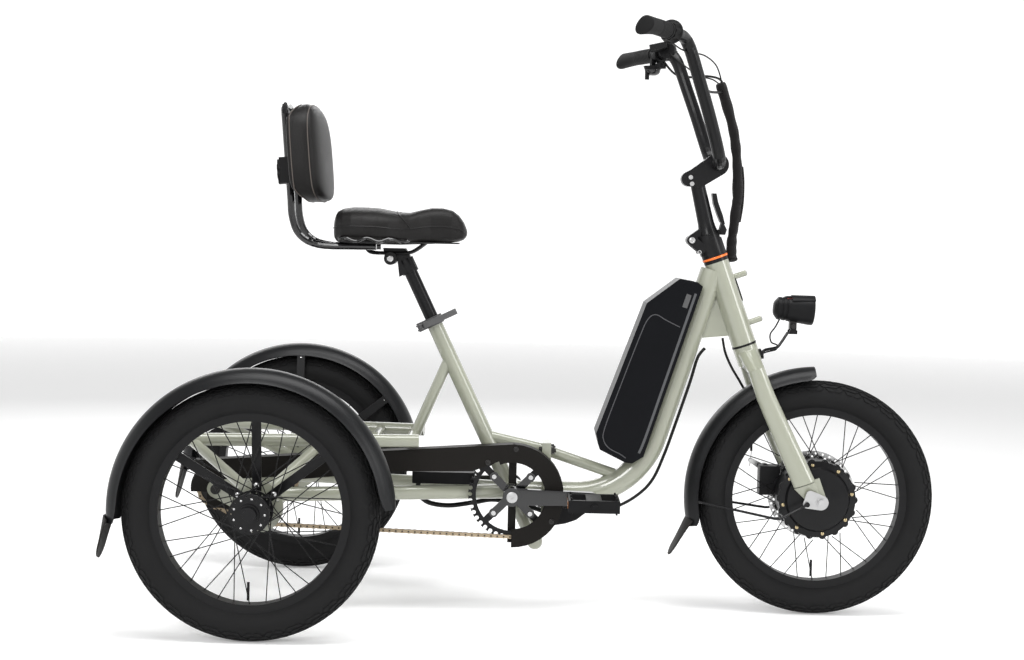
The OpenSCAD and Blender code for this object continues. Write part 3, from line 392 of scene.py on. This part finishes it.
# ---------- CAD nodes that stay ----------
KEPT = {
    "front_frame": PAINT, "rear_frame": PAINT, "rear_deck": PAINT, "fork": PAINT,
    "frame_bolts": DARK, "headset": SATIN, "bearings": STEEL, "seat_collar": GREY, "chain_guard": GUARD,
    "rear_fender_stays": SATIN, "battery_rail": ALLOY, "controller": PLASTIC, "front_fender_stays": SATIN,
    "front_axle": SILVER, "brake_caliper": ALLOY, "headlight_bracket": SATIN, "stem_base": SATIN,
    "stem_post": SATIN, "handlebar": SATIN, "display": PLASTIC, "controls": PLASTIC, "rim_front": ALLOY,
    "rim_rear_left": ALLOY, "rim_rear_right": ALLOY, "motor_hub": SATIN, "brake_rotor": STEEL,
    "hub_rear_left": SATIN, "hub_rear_right": SATIN, "chainring": SATIN, "cranks": GLOSS, "pedal_left": PLASTIC,
    "pedal_right": PLASTIC, "jackshaft": ALLOY, "jackshaft_sprocket": DARK, "idler": PLASTIC,
    "brake_lever": SATIN, "caliper_arm": STEEL, "stem_latch": SATIN, "saddle_rails": SATIN, "seatpost": SATIN,
    "backrest_tube": GLOSS, "backrest_clamp": PLASTIC, "backrest_knob": PLASTIC, "seat_lever": GREY,
    "battery": CASE, "display_button": GREY}
ROUNDED = {"battery": 5, "controller": 3, "pedal_left": 1.5, "pedal_right": 1.5, "cranks": 2.5, "stem_post": 2,
           "stem_base": 1.5, "stem_latch": 2, "brake_caliper": 3, "backrest_clamp": 4, "display": 3,
           "controls": 2, "seat_collar": 1.5, "seat_lever": 1.5, "brake_lever": 2, "chain_guard": 0.7,
           "rear_fender_stays": 0.8, "backrest_knob": 1.5, "saddle_rails": 1}
for name, mat in KEPT.items():
    for s in NODES[name].material_slots:
        s.material = mat
for name, width in ROUNDED.items():
    o = NODES[name]
    w = o.modifiers.new("weld", "WELD")
    w.merge_threshold = 0.00002
    b = o.modifiers.new("edge", "BEVEL")
    b.width, b.segments, b.limit_method, b.angle_limit = width / 1000, 3, "ANGLE", math.radians(32)


def thin_skin(top, under, rows, cols):
    """Closed sheet between two grids of points."""
    n = rows * cols
    faces = grid_faces(rows, cols, wrap_cols=False)
    faces += [tuple(q + n for q in reversed(g)) for g in faces[:]]
    edge = list(range(cols)) + [i * cols + cols - 1 for i in range(1, rows)]
    edge += [(rows - 1) * cols + j for j in range(cols - 2, -1, -1)]
    edge += [i * cols for i in range(rows - 2, 0, -1)]
    faces += [(b, a, a + n, b + n) for a, b in zip(edge, edge[1:] + edge[:1])]
    return top + under, faces


# ---------- wheels ----------
TUBE_R, TUBE_MID = 30.6, 209.0


def tyre_point(p, y, turn, lean, lift=0.0):
    """A point on the tyre: turn about the axle, lean round the tube from the crown, both in degrees."""
    a, c = math.radians(turn), math.radians(lean)
    r = TUBE_MID + (TUBE_R + lift) * math.cos(c)
    return (p[0] + r * math.cos(a), y + (TUBE_R + lift) * 0.99 * math.sin(c), p[1] + r * math.sin(a))


def tyre(name, p, y, body):
    steps = 144
    half = [10, 20, 30, 40, 50, 58, 66, 80, 95, 110, 125, 140, 152]
    leans = [-a for a in reversed(half)] + [0] + half
    base, rim_line = -1.7, 0.9
    rings = [[tyre_point(p, y, 360 * k / steps, c, base + (rim_line if abs(c) == 95 else 0)) for c in leans]
             for k in range(steps)]
    verts = [v for r in rings for v in r]
    faces = grid_faces(steps, len(leans), wrap_rows=True, wrap_cols=True)
    parts = [(verts, faces)]
    count = 72
    # tread blocks: lean, shift round the wheel, half width in degrees, share of the pitch
    rows = [(0, 0.0, 6.5, 0.42), (15, 0.5, 5.2, 0.40), (-15, 0.5, 5.2, 0.40), (29, 0.0, 5.6, 0.40),
            (-29, 0.0, 5.6, 0.40), (44, 0.5, 6.6, 0.38), (-44, 0.5, 6.6, 0.38), (60, 0.0, 7.0, 0.30),
            (-60, 0.0, 7.0, 0.30)]
    for lean, shift, half, share in rows:
        for k in range(count):
            a = 360 * (k + shift) / count
            h = 360 / count * share
            skew = 0.8 if k % 2 else -0.8
            low = [tyre_point(p, y, a + s * h + skew * t, lean + t * half, base - 0.3)
                   for s, t in ((-1, -1), (1, -1), (1, 1), (-1, 1))]
            top = [tyre_point(p, y, a + s * h * 0.86 + skew * t, lean + t * half * 0.84, 0.35)
                   for s, t in ((-1, -1), (1, -1), (1, 1), (-1, 1))]
            parts.append((low + top, [(3, 2, 1, 0), (4, 5, 6, 7), (0, 1, 5, 4), (1, 2, 6, 5), (2, 3, 7, 6),
                                      (3, 0, 4, 7)]))
    add_piece(name + "_casing", parts, TYRE, body, sharp=30, node=name)


REAR, FRONT = (0.0, AXLE_Z), (WHEELBASE, AXLE_Z)
tyre("tyre_front", FRONT, 0.0, "front_wheel")
tyre("tyre_rear_left", REAR, HALF_TRACK, "rear_wheel_left")
tyre("tyre_rear_right", REAR, -HALF_TRACK, "rear_wheel_right")

NEAR, FAR = (0, -1, 0), (0, 1, 0)      # across the trike, towards the camera and away from it
# the cover of the hub motor
screws("motor_screws", [(0.1, 0), (3.2, 0), (3.6, 1), (3.4, 2.4), (2, 3.2), (0.1, 3.3)],
       [(around(FRONT, 70.5, a, -36.0), NEAR) for a in range(10, 360, 45)], 16, BRASS, "front_wheel")
cover_ring = [(24, 0), (60, 0.2), (62, 0.8), (61.2, 1.6), (58, 1.4), (56, 0.9), (24, 0.8)]
add_piece("motor_cover_ring", [turn_mesh(cover_ring, (WHEELBASE, -41.4, AXLE_Z), NEAR, 96)], GLOSS,
          "front_wheel")
SIDES = ((1, "left"), (-1, "right"))
for side, tag in SIDES:
    hub = "rear_wheel_" + tag
    turned("axle_cap_" + tag,
           [(0.1, 3.5), (5, 3.4), (5.4, 2), (7, 2), (9, 1.2), (14.5, 0.6), (15, 0), (15, -4), (0.1, -4)],
           (0, side * (HALF_TRACK + 38.5), AXLE_Z), (0, side, 0), DARK, hub, 36)
    screws("hub_flange_face_" + tag, [(2.0, 0), (2.2, 1.4), (1.4, 2.0), (0.1, 2.1)],
           [(around(REAR, 29, a, side * (HALF_TRACK + 27)), (0, side, 0)) for a in range(0, 360, 40)], 10,
           STEEL, hub)


# ---------- fenders ----------
def fender(p, y, first, last, half=69.0):
    """Shell of a fender about the axle p, from one turn to the other, in degrees."""
    steps = 72
    outer = [(40.5, -half + 2 * half * k / 24) for k in range(25)]
    inner = [(39.2, a) for _, a in reversed(outer)]
    rings = []
    for i in range(steps + 1):
        turn = math.radians(first + (last - first) * i / steps)
        near_end = min(i, steps - i)
        trim = {0: 0.80, 1: 0.92, 2: 0.97}.get(near_end, 1.0)
        ring = []
        for r, a in outer + inner:
            lip = 1.3 if abs(a) > half - 4 and r > 40 else 0.0
            rib = 0.5 if 33 < abs(a) < 37 and r > 40 else 0.0
            c = math.radians(a * trim)
            rad = 227.5 + (r + lip + rib) * math.cos(c)
            ring.append((p[0] + rad * math.cos(turn), y + (r + lip) * math.sin(c),
                         p[1] + rad * math.sin(turn)))
        rings.append(ring)
    return loft(rings)


def tongue(root, lean, length, y, half_w=33.0, thick=3.0):
    """Rubber flap: arched where it leaves the fender, flat and rounded at its end."""
    a = math.radians(lean)
    down, out = np.array((-math.sin(a), 0, -math.cos(a))), np.array((-math.cos(a), 0, math.sin(a)))
    layers, rows, cols = [], 16, 15
    for depth in (0, thick):
        grid = []
        for i in range(rows):
            t = i / (rows - 1)
            reach = max(0.0, (t - 0.55) / 0.45)
            w = half_w * math.sqrt(max(0.02, 1 - reach ** 2.6)) * (1 - 0.08 * t)
            for j in range(cols):
                v = -1 + 2 * j / (cols - 1)
                bow = 11 * (1 - t) ** 1.3 * (1 - v * v) - 5 * t * t - depth
                middle = np.array((root[0], y + v * w, root[1]))
                grid.append(middle + down * (t * length) + out * bow)
        layers.append(grid)
    return thin_skin(layers[0], layers[1], rows, cols)


rear_shells = [fender(REAR, s * HALF_TRACK, 3, 185) for s, tag in SIDES]
add_piece("rear_fender_shells", rear_shells, FENDER, "frame", sharp=40, node="rear_fenders")
add_piece("front_fender_shell", [fender(FRONT, 0.0, 92, 194),
                                 plate_mesh([(966, 468), (972, 472), (958, 506), (952, 503)], -12, 12)],
          FENDER, "steering", sharp=40, node="front_fender")
for s, tag in SIDES:
    add_piece("rear_flap_" + tag, [tongue((-262, 226), 19, 78, s * HALF_TRACK)], FLAP, "frame")
    screws("rear_flap_screws_" + tag, [(0.1, 0), (4, 0), (4, 1.5), (0.1, 2.6)],
           [((-266.5, s * HALF_TRACK + d, 214), (-1, 0, 0.3)) for d in (-14, 14)], 12, DARK, "frame")
add_piece("front_flap", [tongue((846, 190), 34, 86, 0.0)], FLAP, "steering")
for s, tag in SIDES:
    spots = []
    for a in (38, 90, 147):
        spots.append((around(REAR, 236, a, s * (HALF_TRACK - 38.5)), (0, -s, 0)))
        spots.append((around(REAR, 42, a, s * 312), (0, s, 0)))
    screws("stay_bolts_" + tag, [(0.1, 0), (5, 0), (5, 2), (3, 3.2), (0.1, 3.3)], spots, 12, STEEL, "frame")


# ---------- chains ----------
LINK = 12.7         # pitch of the chain


def belt(wheels):
    """Evenly sampled line of a chain round its sprockets, in order round the loop."""
    normals = []
    n = len(wheels)
    for i in range(n):
        (a, r1), (b, r2) = wheels[i], wheels[(i + 1) % n]
        d = np.array(b) - np.array(a)
        dist = float(np.linalg.norm(d))
        u = d / dist
        w = np.array((u[1], -u[0]))
        k = (r1 - r2) / dist
        normals.append(k * u + math.sqrt(1 - k * k) * w)
    pts = []
    for i in range(n):
        c, r = np.array(wheels[i][0]), wheels[i][1]
        a0 = math.atan2(normals[i - 1][1], normals[i - 1][0])
        a1 = math.atan2(normals[i][1], normals[i][0])
        while a1 < a0:
            a1 += 2 * math.pi
        pts += [c + r * np.array((math.cos(q), math.sin(q))) for q in np.linspace(a0, a1, 40)]
    pts.append(pts[0])
    pts = np.array(pts)
    step = np.linalg.norm(np.diff(pts, axis=0), axis=1)
    s = np.concatenate(([0], np.cumsum(step)))
    count = 2 * round(s[-1] / LINK / 2)
    want = np.linspace(0, s[-1], count, endpoint=False)
    return [np.array((np.interp(q, s, pts[:, 0]), np.interp(q, s, pts[:, 1]))) for q in want]


def link_plate(a, b, y0, y1, r):
    """Side plate round the pins at a and b, with a waist."""
    d = (b - a) / np.linalg.norm(b - a)
    w = np.array((-d[1], d[0]))
    out = []
    for c, base in ((a, 90), (b, -90)):
        for k in range(7):
            q = math.radians(base + 30 * k)
            out.append(c + r * (math.cos(q) * d + math.sin(q) * w))
    waist = 0.78
    mid = (a + b) / 2
    out.insert(7, mid - w * r * waist)
    out.append(mid + w * r * waist)
    return plate_mesh([(q[0], q[1]) for q in out], y0, y1)


def chain(wheels, y):
    """Side plates and pins of one chain in the plane y."""
    pts = belt(wheels)
    plates, pins = [], []
    for k, a in enumerate(pts):
        b = pts[(k + 1) % len(pts)]
        inset = 2.6 if k % 2 else 3.7
        for s in (-1, 1):
            plates.append(link_plate(a, b, y + s * inset - 0.45, y + s * inset + 0.45, 4.1))
        middle = (a[0], y, a[1])
        pins.append(turn_mesh([(0.1, -4.6), (1.9, -4.6), (1.9, 4.6), (0.1, 4.6)], middle, FAR, 10))
        pins.append(turn_mesh([(1.9, -2.1), (3.8, -2.1), (3.8, 2.1), (1.9, 2.1)], middle, FAR, 12))
    return plates, pins


front_plates, front_pins = chain([(BB, 84.97), (JACK, 40.6), (IDLER, 20.55)], -72.0)
axle_plates, axle_pins = chain([(REAR, 32.5), (JACK, 32.5)], 40.0)
add_piece("chain_links", front_plates + axle_plates, CHAIN, "frame", node="drive_chains")
add_piece("chain_pins", front_pins + axle_pins, PIN, "frame")


# ---------- seat ----------
SADDLE = [  # x, half width, top, bottom, middle dip
    (111, 70, 782, 752, 0.5), (113, 92, 794, 744, 1.0), (118, 108, 803, 740, 2.0), (130, 120, 809, 738, 4.0),
    (150, 127, 812, 737, 6.0), (175, 129, 812, 737, 7.0), (200, 127, 811, 737, 7.0), (222, 119, 807, 737, 6.0),
    (243, 104, 804, 737, 5.0), (262, 84, 804, 738, 4.0), (282, 65, 810, 739, 3.0), (304, 52, 815, 740, 2.5),
    (326, 46, 815, 742, 2.0), (345, 42, 810, 744, 1.0), (359, 36, 799, 746, 0.5), (369, 28, 785, 750, 0.2),
    (374, 18, 773, 756, 0.0), (376, 8, 767, 761, 0.0)]


def saddle_at(x):
    xs = [s[0] for s in SADDLE]
    return [float(np.interp(x, xs, [s[k] for s in SADDLE])) for k in range(1, 5)]


def saddle_point(x, angle, lift=0.0):
    """Point on the cover: angle 0 is the left edge, 90 the top."""
    w, top, low, dip = saddle_at(x)
    split = low + (top - low) * 0.42
    c, s = math.cos(math.radians(angle)), math.sin(math.radians(angle))
    y = (w + lift) * math.copysign(abs(c) ** 0.62, c)
    if s >= 0:
        z = split + (top - split + lift) * s ** 0.72 - dip * math.exp(-(y / 26) ** 2)
    else:
        z = split - (split - low) * abs(s) ** 0.45
    return (x, y * (1 - 0.05 * max(0, -s)), z)


def saddle():
    xs = sorted(set([s[0] for s in SADDLE] + list(np.linspace(113, 372, 54))))
    rings = [[saddle_point(x, a) for a in np.linspace(0, 360, 72, endpoint=False)] for x in xs]
    v, f = loft(rings)
    o = piece("saddle_cover", v, f, VINYL, "seat", sharp=None, node="saddle")
    o.modifiers.new("smooth", "SUBSURF").render_levels = 1
    return o


saddle()
# seams round the skirt and over the rear lobe, and the wavy trim below them
skirt = [saddle_point(x, 2, 0.2) for x in np.linspace(114, 371, 60)]
skirt_far = [(x, -y, z) for x, y, z in skirt]
skirt_tubes = [tube_mesh([np.array(q) for q in r], 1.5, 8) for r in (skirt, skirt_far)]
add_piece("saddle_skirt_piping", skirt_tubes, PIPING, "seat")
lobe = [saddle_point(236 + 30 * (1 - math.sin(math.radians(a))) ** 1.2, a, 0.3)
        for a in np.linspace(4, 176, 60)]
add_piece("saddle_lobe_seam", [tube_mesh([np.array(q) for q in lobe], 1.0, 8)], PIPING, "seat")
wave = []
for side in (1, -1):
    pts = []
    for x in np.linspace(126, 262, 50):
        q = saddle_point(x, 0)
        swing = 3.2 * math.sin((x - 126) / 136 * 2 * math.pi * 3)
        pts.append(np.array((x, side * (abs(q[1]) - 1.0), 746 + swing)))
    wave.append(tube_mesh(pts, 3.0, 10))
add_piece("saddle_trim", wave, GLOSS, "seat")

# ---------- backrest ----------
PAD_TILT = math.radians(4.9)


def on_back(x, y, z):
    """x out of the pad's back, z up it."""
    return (18 + x * math.cos(PAD_TILT) - z * math.sin(PAD_TILT), y,
            882 + x * math.sin(PAD_TILT) + z * math.cos(PAD_TILT))


def pad_ring(x, inset, shift, lift=0.0, n=96):
    """Rounded rectangle outline of the backrest at depth x."""
    half_y, half_z, ring = 140 - inset + lift, 98 - inset * 0.9 + lift, []
    for k in range(n):
        q = 2 * math.pi * k / n
        c, s = math.cos(q), math.sin(q)
        y, z = half_y * math.copysign(abs(c) ** 0.52, c), half_z * math.copysign(abs(s) ** 0.62, s)
        wrap = 10 * (abs(y) / 140) ** 2 * max(0.0, (x - 40) / 40)
        side_share, depth_share = min(1.0, max(0.0, (abs(y) - 78) / 45)), min(1.0, max(0.0, (60 - x) / 30))
        ears = 19 * side_share ** 1.3 * depth_share
        ring.append(on_back(x - wrap - ears, y, 32 - shift + z))
    return ring


LAYERS = [  # depth, inset, shift down
    (26.4, 98, 0), (26.4, 70, 0), (26.3, 46, 0), (26.3, 26, 0), (26.5, 9, 0), (28, 4, 0), (31, 1.2, 0),
    (34, 2.0, 0), (38, 0.4, 0), (46, 0, 0), (52, 0.6, 1), (56, 2.6, 2), (58, 2.2, 2), (63, 5.5, 4), (68, 11, 8),
    (72, 19, 12), (75, 30, 17), (77, 46, 22), (77.8, 66, 26), (78, 84, 28)]
v, f = loft([pad_ring(*layer) for layer in LAYERS])
pad = piece("backrest_cushion", v, f, VINYL, "backrest", sharp=None, node="backrest_pad")
pad.modifiers.new("smooth", "SUBSURF").render_levels = 1
seams = []
for x, inset, shift in ((33, 1.4, 0), (57, 2.0, 2)):
    ring = [np.array(q) for q in pad_ring(x, inset, shift, 0.2)]
    seams.append(tube_mesh(ring + [ring[0]], 1.1, 8, round_end=False))
add_piece("backrest_piping", seams, material("pale_piping", (0.07, 0.058, 0.05), 0.5, vary=0.15), "backrest")
screws("saddle_clamp_bolt", [(0.1, 0), (6, 0), (6.5, 1), (6.5, 4), (4, 5), (3.2, 5), (3, 2.5), (0.1, 2.5)],
       [((222, s * 29, 709), (0, s, 0)) for s, tag in SIDES], 24, STEEL, "seat")


# ---------- grips and throttle ----------
GRIP_SWEEP = math.atan(56 / 124)


def on_grip(side, x, y, z):
    """z out along a handle, x and y round it."""
    a = x * math.cos(GRIP_SWEEP) - z * math.sin(GRIP_SWEEP)
    c = x * math.sin(GRIP_SWEEP) + z * math.cos(GRIP_SWEEP)
    return (764 + a, side * (222 + c), 1155 - side * y)


def grip(side, first, last):
    """Ribbed grip that spreads into a palm rest at its end."""
    rings, n = [], 40
    zs = list(np.linspace(first, last - 3, 90)) + [last - 1.6, last - 0.6, last]
    for z in zs:
        t = (z - first) / (last - first)
        wing = max(0.0, (t - 0.5) / 0.5) ** 1.5
        rib = 0.45 * (1 if 0.06 < t < 0.5 and int((z - first) / 3.2) % 2 else 0)
        flange = 1.6 if t < 0.05 else 0.0
        shrink = {last: 0.8, last - 0.6: 0.92, last - 1.6: 0.975}.get(z, 1.0)
        ring = []
        for k in range(n):
            q = 2 * math.pi * k / n
            r = (15.3 + rib + flange) * shrink
            x, y = r * math.cos(q), r * math.sin(q)
            toward = max(0.0, -math.cos(q) * 0.75 + side * math.sin(q) * 0.66)
            ring.append(on_grip(side, x - wing * 8 * toward, y + side * wing * 7 * toward, z))
        rings.append(ring)
    return loft(rings)


def throttle_ring(z):
    """Ring of the throttle: a smooth flange, then a tapered sleeve with nine flutes."""
    base = {0: 21.5, 1: 23, 5: 23, 6: 21.5}.get(z, 20.5 - 3 * (z - 6) / 18)
    flute = 1.1 if z > 6 else 0
    ring = []
    for q in np.linspace(0, 2 * math.pi, 90, endpoint=False):
        r = base + flute * math.cos(9 * q)
        ring.append(on_grip(-1, r * math.cos(q), r * math.sin(q), z))
    return ring


add_piece("grip_rubbers", [grip(1, 0, 142), grip(-1, 28, 142)], RUBBER, "stem", sharp=45, node="grips")
v, f = loft([throttle_ring(z) for z in (0, 1, 5, 6, 7, 9, 12, 15, 18, 21, 23, 24)])
piece("throttle_sleeve", v, f, RUBBER, "throttle", sharp=40, node="throttle")

# ---------- cables ----------
sleeve_line = [(884, 10, 1078), (899, 16, 1035), (914, 20, 985), (921, 24, 945), (925, 24, 904), (927, 24, 852),
               (925, 24, 832), (921, 24, 790), (918, 24, 765), (917, 21, 740), (919, 16, 722)]
line = smooth_line(sleeve_line, 10)


def sleeve_radius(t):
    return 10.2 + 0.9 * math.sin(23 * t) * math.sin(9 * t + 1) + 0.5 * math.sin(71 * t)


sleeve = tube("cable_sleeve_wrap", line, sleeve_radius, SLEEVE, "stem", sides=22, node="cable_sleeve")
wrap = smooth_line([(934.5, 24, 912), (937.5, 24, 885), (938, 24, 852), (936.5, 24, 828), (932.5, 24, 800)], 8)
tube("sleeve_flap", wrap, 2.6, SLEEVE, "stem", sides=10)
cable("sleeve_tie", [(838, -112, 1062), (852, -76, 1056), (872, -30, 1058), (886, 4, 1062)], 2.6, CABLE, "stem")
cable("throttle_wire", [(756, -238, 1139), (786, -172, 1128), (812, -132, 1126), (840, -96, 1124),
                        (866, -50, 1112), (881, -8, 1092), (887, 10, 1070)], 1.5, CABLE, "stem")
cable("brake_hose", [(782, 200, 1139), (806, 186, 1112), (838, 160, 1104), (866, 116, 1103), (888, 62, 1092),
                     (893, 24, 1068), (897, 18, 1045)], 2.4, CABLE, "stem")
cable("display_wire", [(790, 140, 1150), (816, 116, 1126), (846, 90, 1102), (872, 48, 1090), (886, 18, 1074),
                       (891, 14, 1062)], 1.5, CABLE, "stem")
harness = [(866, 0, 540), (852, 0, 520), (838, 0, 470), (812, 0, 388), (790, 0, 322), (768, 0, 270),
           (740, 0, 238), (700, 0, 213), (660, 0, 204), (640, 0, 200)]
tube("frame_harness", smooth_line(harness, 8), 3.2, CABLE, "frame", sides=12, node="frame_cables")
loop_run = [(556, 20, 190), (530, 40, 196), (490, 48, 205), (440, 46, 212), (400, 40, 206), (350, 30, 200),
            (310, 20, 206), (290, 10, 222), (286, 0, 240), (288, 0, 254)]
cable("chainstay_loop", loop_run, 5.0, CABLE, "frame")
fork_run = [(905, 27, 560), (912, 30, 530), (926, 32, 500), (945, 38, 470), (962, 52, 440), (972, 84, 400),
            (978, 90, 350), (979, 88, 322)]
cable("fork_brake_cable", fork_run, 2.6, CABLE, "steering", node="fork_cables")
cable("caliper_inner_wire", [(979, 88, 324), (979, 88, 318), (978.6, 88, 312), (978, 88, 303), (977, 88, 296),
                             (976, 88, 290)], 0.8, STEEL, "steering")
cable("headlight_wire", [(1018, 0, 606), (1010, 4, 588), (1000, 6, 572), (1002, 4, 556), (1014, 3, 550),
                         (1012, 3, 541), (992, 4, 535), (978, 6, 528)], 1.6, CABLE, "steering")

# ---------- headlight ----------
LAMP_TURN = math.radians(94)        # from upright: the lamp looks a little down
lamp_axis = (math.sin(LAMP_TURN), 0, math.cos(LAMP_TURN))
lamp_at = (1012, 0, 626)
turned("headlight_shell", [(0.1, -8), (12, -8), (15, -6.6), (21, -1.5), (23, 0), (23.3, 6), (22.4, 7),
                           (22.4, 9), (23.8, 10), (24.2, 16), (23.2, 17), (23.2, 19), (24.8, 20), (27.5, 52),
                           (28.6, 64), (28.8, 71), (27.6, 73), (26.2, 73), (25.4, 69), (0.1, 68)],
       lamp_at, lamp_axis, PLASTIC, "headlight", 64, node="headlight")
turned("headlight_lens", [(0.1, 71.5), (12, 71.3), (20, 70.6), (24.6, 69.6), (25.2, 68.4), (0.1, 68.2)],
       lamp_at, lamp_axis, LENS, "headlight", 48)
turned("headlight_ring", [(25.0, 69.4), (26.4, 72.4), (27.2, 73.3), (26.3, 73.6), (24.4, 70.4)],
       lamp_at, lamp_axis, SILVER, "headlight", 48)


def visor():
    """Thin curved peak over the front of the lamp."""
    rows, cols = 8, 15
    line = []
    for x in np.linspace(1040, 1087, rows):
        r = 29.6 - (1086 - x) * 0.06
        drop = (x - lamp_at[0]) * 0.07
        line += [(x, y, lamp_at[2] + math.sqrt(r ** 2 - y * y) - drop + 0.4)
                 for y in np.linspace(-21, 21, cols)]
    return thin_skin([(x, y, z + 2.0) for x, y, z in line], [(x, y, z - 0.6) for x, y, z in line], rows, cols)


add_piece("headlight_visor", [visor()], PLASTIC, "headlight")
top_plate = plate_mesh([(1018, 645), (1030, 651), (1074, 652), (1076, 649), (1032, 647), (1018, 642)], -11, 11)
soften(add_piece("headlight_top_plate", [top_plate], PLASTIC, "headlight"), 0.0015)
red_line = plate_mesh([(1030, 645.8), (1072, 647.6), (1072, 648.6), (1030, 646.8)], -11.6, 11.6)
add_piece("headlight_red_line", [red_line], RED, "headlight")
foot_plate = plate_mesh([(1037, 584), (1051, 584), (1051, 600), (1046, 604), (1040, 604), (1037, 600)], -9, 9)
foot_bolt = turn_mesh([(0.1, -19), (5, -19), (5, -15), (3, -15), (3, 15), (5, 15), (5, 19), (0.1, 19)],
                      (1044, 0, 590), FAR, 20)
add_piece("headlight_foot", [foot_plate, foot_bolt], DARK, "headlight")

# ---------- head tube, stem ----------
LEAN = math.radians(HEAD_ANGLE)
turned("headset_orange_ring",
       [(24, 183.4), (26.3, 183.4), (26.6, 184.2), (26.6, 187.0), (26.3, 187.8), (24, 187.8)],
       (HEAD_FOOT[0], 0, HEAD_FOOT[1]), (-math.sin(LEAN), 0, math.cos(LEAN)), ORANGE, "frame", 64)
screws("boss_screws", [(0.1, 0), (4.6, 0), (4.6, 1.4), (3.6, 2.4), (2.2, 2.4), (2, 1), (0.1, 1)],
       [(on_head(49.6, s), (math.cos(LEAN), 0, math.sin(LEAN))) for s in (38, 136)], 20, SILVER, "frame")
port = []
for t in np.linspace(0, 2 * math.pi, 33):
    port.append(np.array(on_head(25.4, 110 + 26 * math.sin(t), 7.2 * math.cos(t))))
add_piece("cable_port_rim", [tube_mesh(port, 1.3, 8, round_end=False)], SATIN, "frame")
screws("stem_bolts", [(0.1, 0), (4.2, 0), (4.5, 0.8), (4.5, 4), (2.6, 4), (2.3, 2), (0.1, 2)],
       [((x, -17, z), NEAR) for x, z in ((826, 887), (829, 874))], 20, STEEL, "stem")
screws("fold_bolts", [(0.1, 0), (6, 0), (6.4, 1), (6.2, 3), (3.2, 3.6), (2.8, 1.8), (0.1, 1.8)],
       [((832, s * 24, 760), (0, s, 0)) for s, tag in SIDES], 24, STEEL, "steering")
screws("steerer_bolts", [(0.1, 0), (4, 0), (4.2, 0.8), (4, 3.4), (2.4, 3.4), (2.1, 1.6), (0.1, 1.6)],
       [(on_head(-28, 206.8, s * 18), (0, s, 0)) for s, tag in SIDES], 20, STEEL, "steering")
bell = [(0.1, 12), (8, 11.4), (13, 9), (16, 5), (17, 1), (17, -2), (0.1, -2)]
turned("bell_dome", bell, on_grip(1, -9, 33, -7.5), (0, 0, -1), GLOSS, "stem", 40)

# ---------- battery ----------
DOWN = math.radians(DOWN_TILT)
DOWN_FOOT = (604 + 172 * math.cos(DOWN), 407 - 172 * math.sin(DOWN))


def on_down(n, s, y):
    """n in front of the down tube's middle line, s up it."""
    return (DOWN_FOOT[0] + n * math.cos(DOWN) + s * math.sin(DOWN), y,
            DOWN_FOOT[1] - n * math.sin(DOWN) + s * math.cos(DOWN))


def battery_strip(name, line, width, mat, lift=0.35):
    """Thin strip lying on both flat sides of the battery."""
    parts = []
    pts = smooth_line([(n, 0, s) for n, s in line], 6)
    for side in (1, -1):
        rows = []
        for k, q in enumerate(pts):
            t = pts[min(k + 1, len(pts) - 1)] - pts[max(k - 1, 0)]
            t = t / np.linalg.norm(t)
            w = np.array((-t[2], 0, t[0])) * width / 2
            root, face = side * 51.0, side * (52 + lift)
            rows.append([on_down(q[0] + k * w[0], q[2] + k * w[2], y)
                         for k, y in ((-1, root), (-0.8, face), (0.8, face), (1, root))])
        parts.append(loft(rows))
    return add_piece(name, parts, mat, "battery", sharp=40)


battery_strip("battery_panel_line", [(-30, 232), (-60, 236), (-84, 240), (-96, 226), (-100, 190), (-104, 80),
                                     (-106, -10), (-100, -34), (-84, -46), (-60, -50), (-46, -54)], 2.2,
              material("panel_line", (0.05, 0.05, 0.055), 0.35, vary=0.1))
# painted highlight: a lighter strip along the front of the battery stands in for the light its chamfered edge
# catches
battery_strip("battery_front_edge_painted_highlight", [(-22, 306), (-22, 240), (-22, 120), (-22, 0), (-24, -36)], 6.0,
              material("battery_edge_painted_highlight", (0.06, 0.062, 0.066), 0.3, vary=0.1))
battery_strip("battery_top_patch", [(-34, 300), (-34, 286), (-34, 272)], 12.0, GREY, 0.5)


# ---------- drive details ----------
screws("guard_bolts", [(0.1, 0), (5.5, 0), (5.5, 1.6), (3.4, 2.6), (3, 1.2), (0.1, 1.2)],
       [((x, -89, z), NEAR) for x, z in ((486, 334), (560, 190), (430, 306))], 18, DARK, "frame")
screws("spider_bolts", [(0.1, 0), (5, 0), (5.2, 1), (4.6, 2.2), (2.4, 2.2), (2.2, 1), (0.1, 1)],
       [(around(BB, 52, a, -79), NEAR) for a in (45, 135, 225, 315)], 18, STEEL, "crank")
for s, tag in reversed(SIDES):
    turned("crank_cap_" + tag, [(0.1, 0), (9, 0), (11, 1), (11, 3), (7, 4.2), (3, 4.2), (2.6, 2.6), (0.1, 2.6)],
           (BB[0], s * 108, BB[1]), (0, s, 0), SILVER, "crank", 32)
for s, tag in reversed(SIDES):
    pedal_x = BB[0] - s * 160
    edges = [sorted((pedal_x + k * 50, pedal_x + k * 51.2)) for k in (-1, 1)]
    parts = [plate_mesh([(x0, 233), (x1, 233), (x1, 247), (x0, 247)], *sorted((s * 135, s * 190)))
             for x0, x1 in edges]
    add_piece("pedal_reflectors_" + tag, parts, AMBER, "pedal_" + tag)
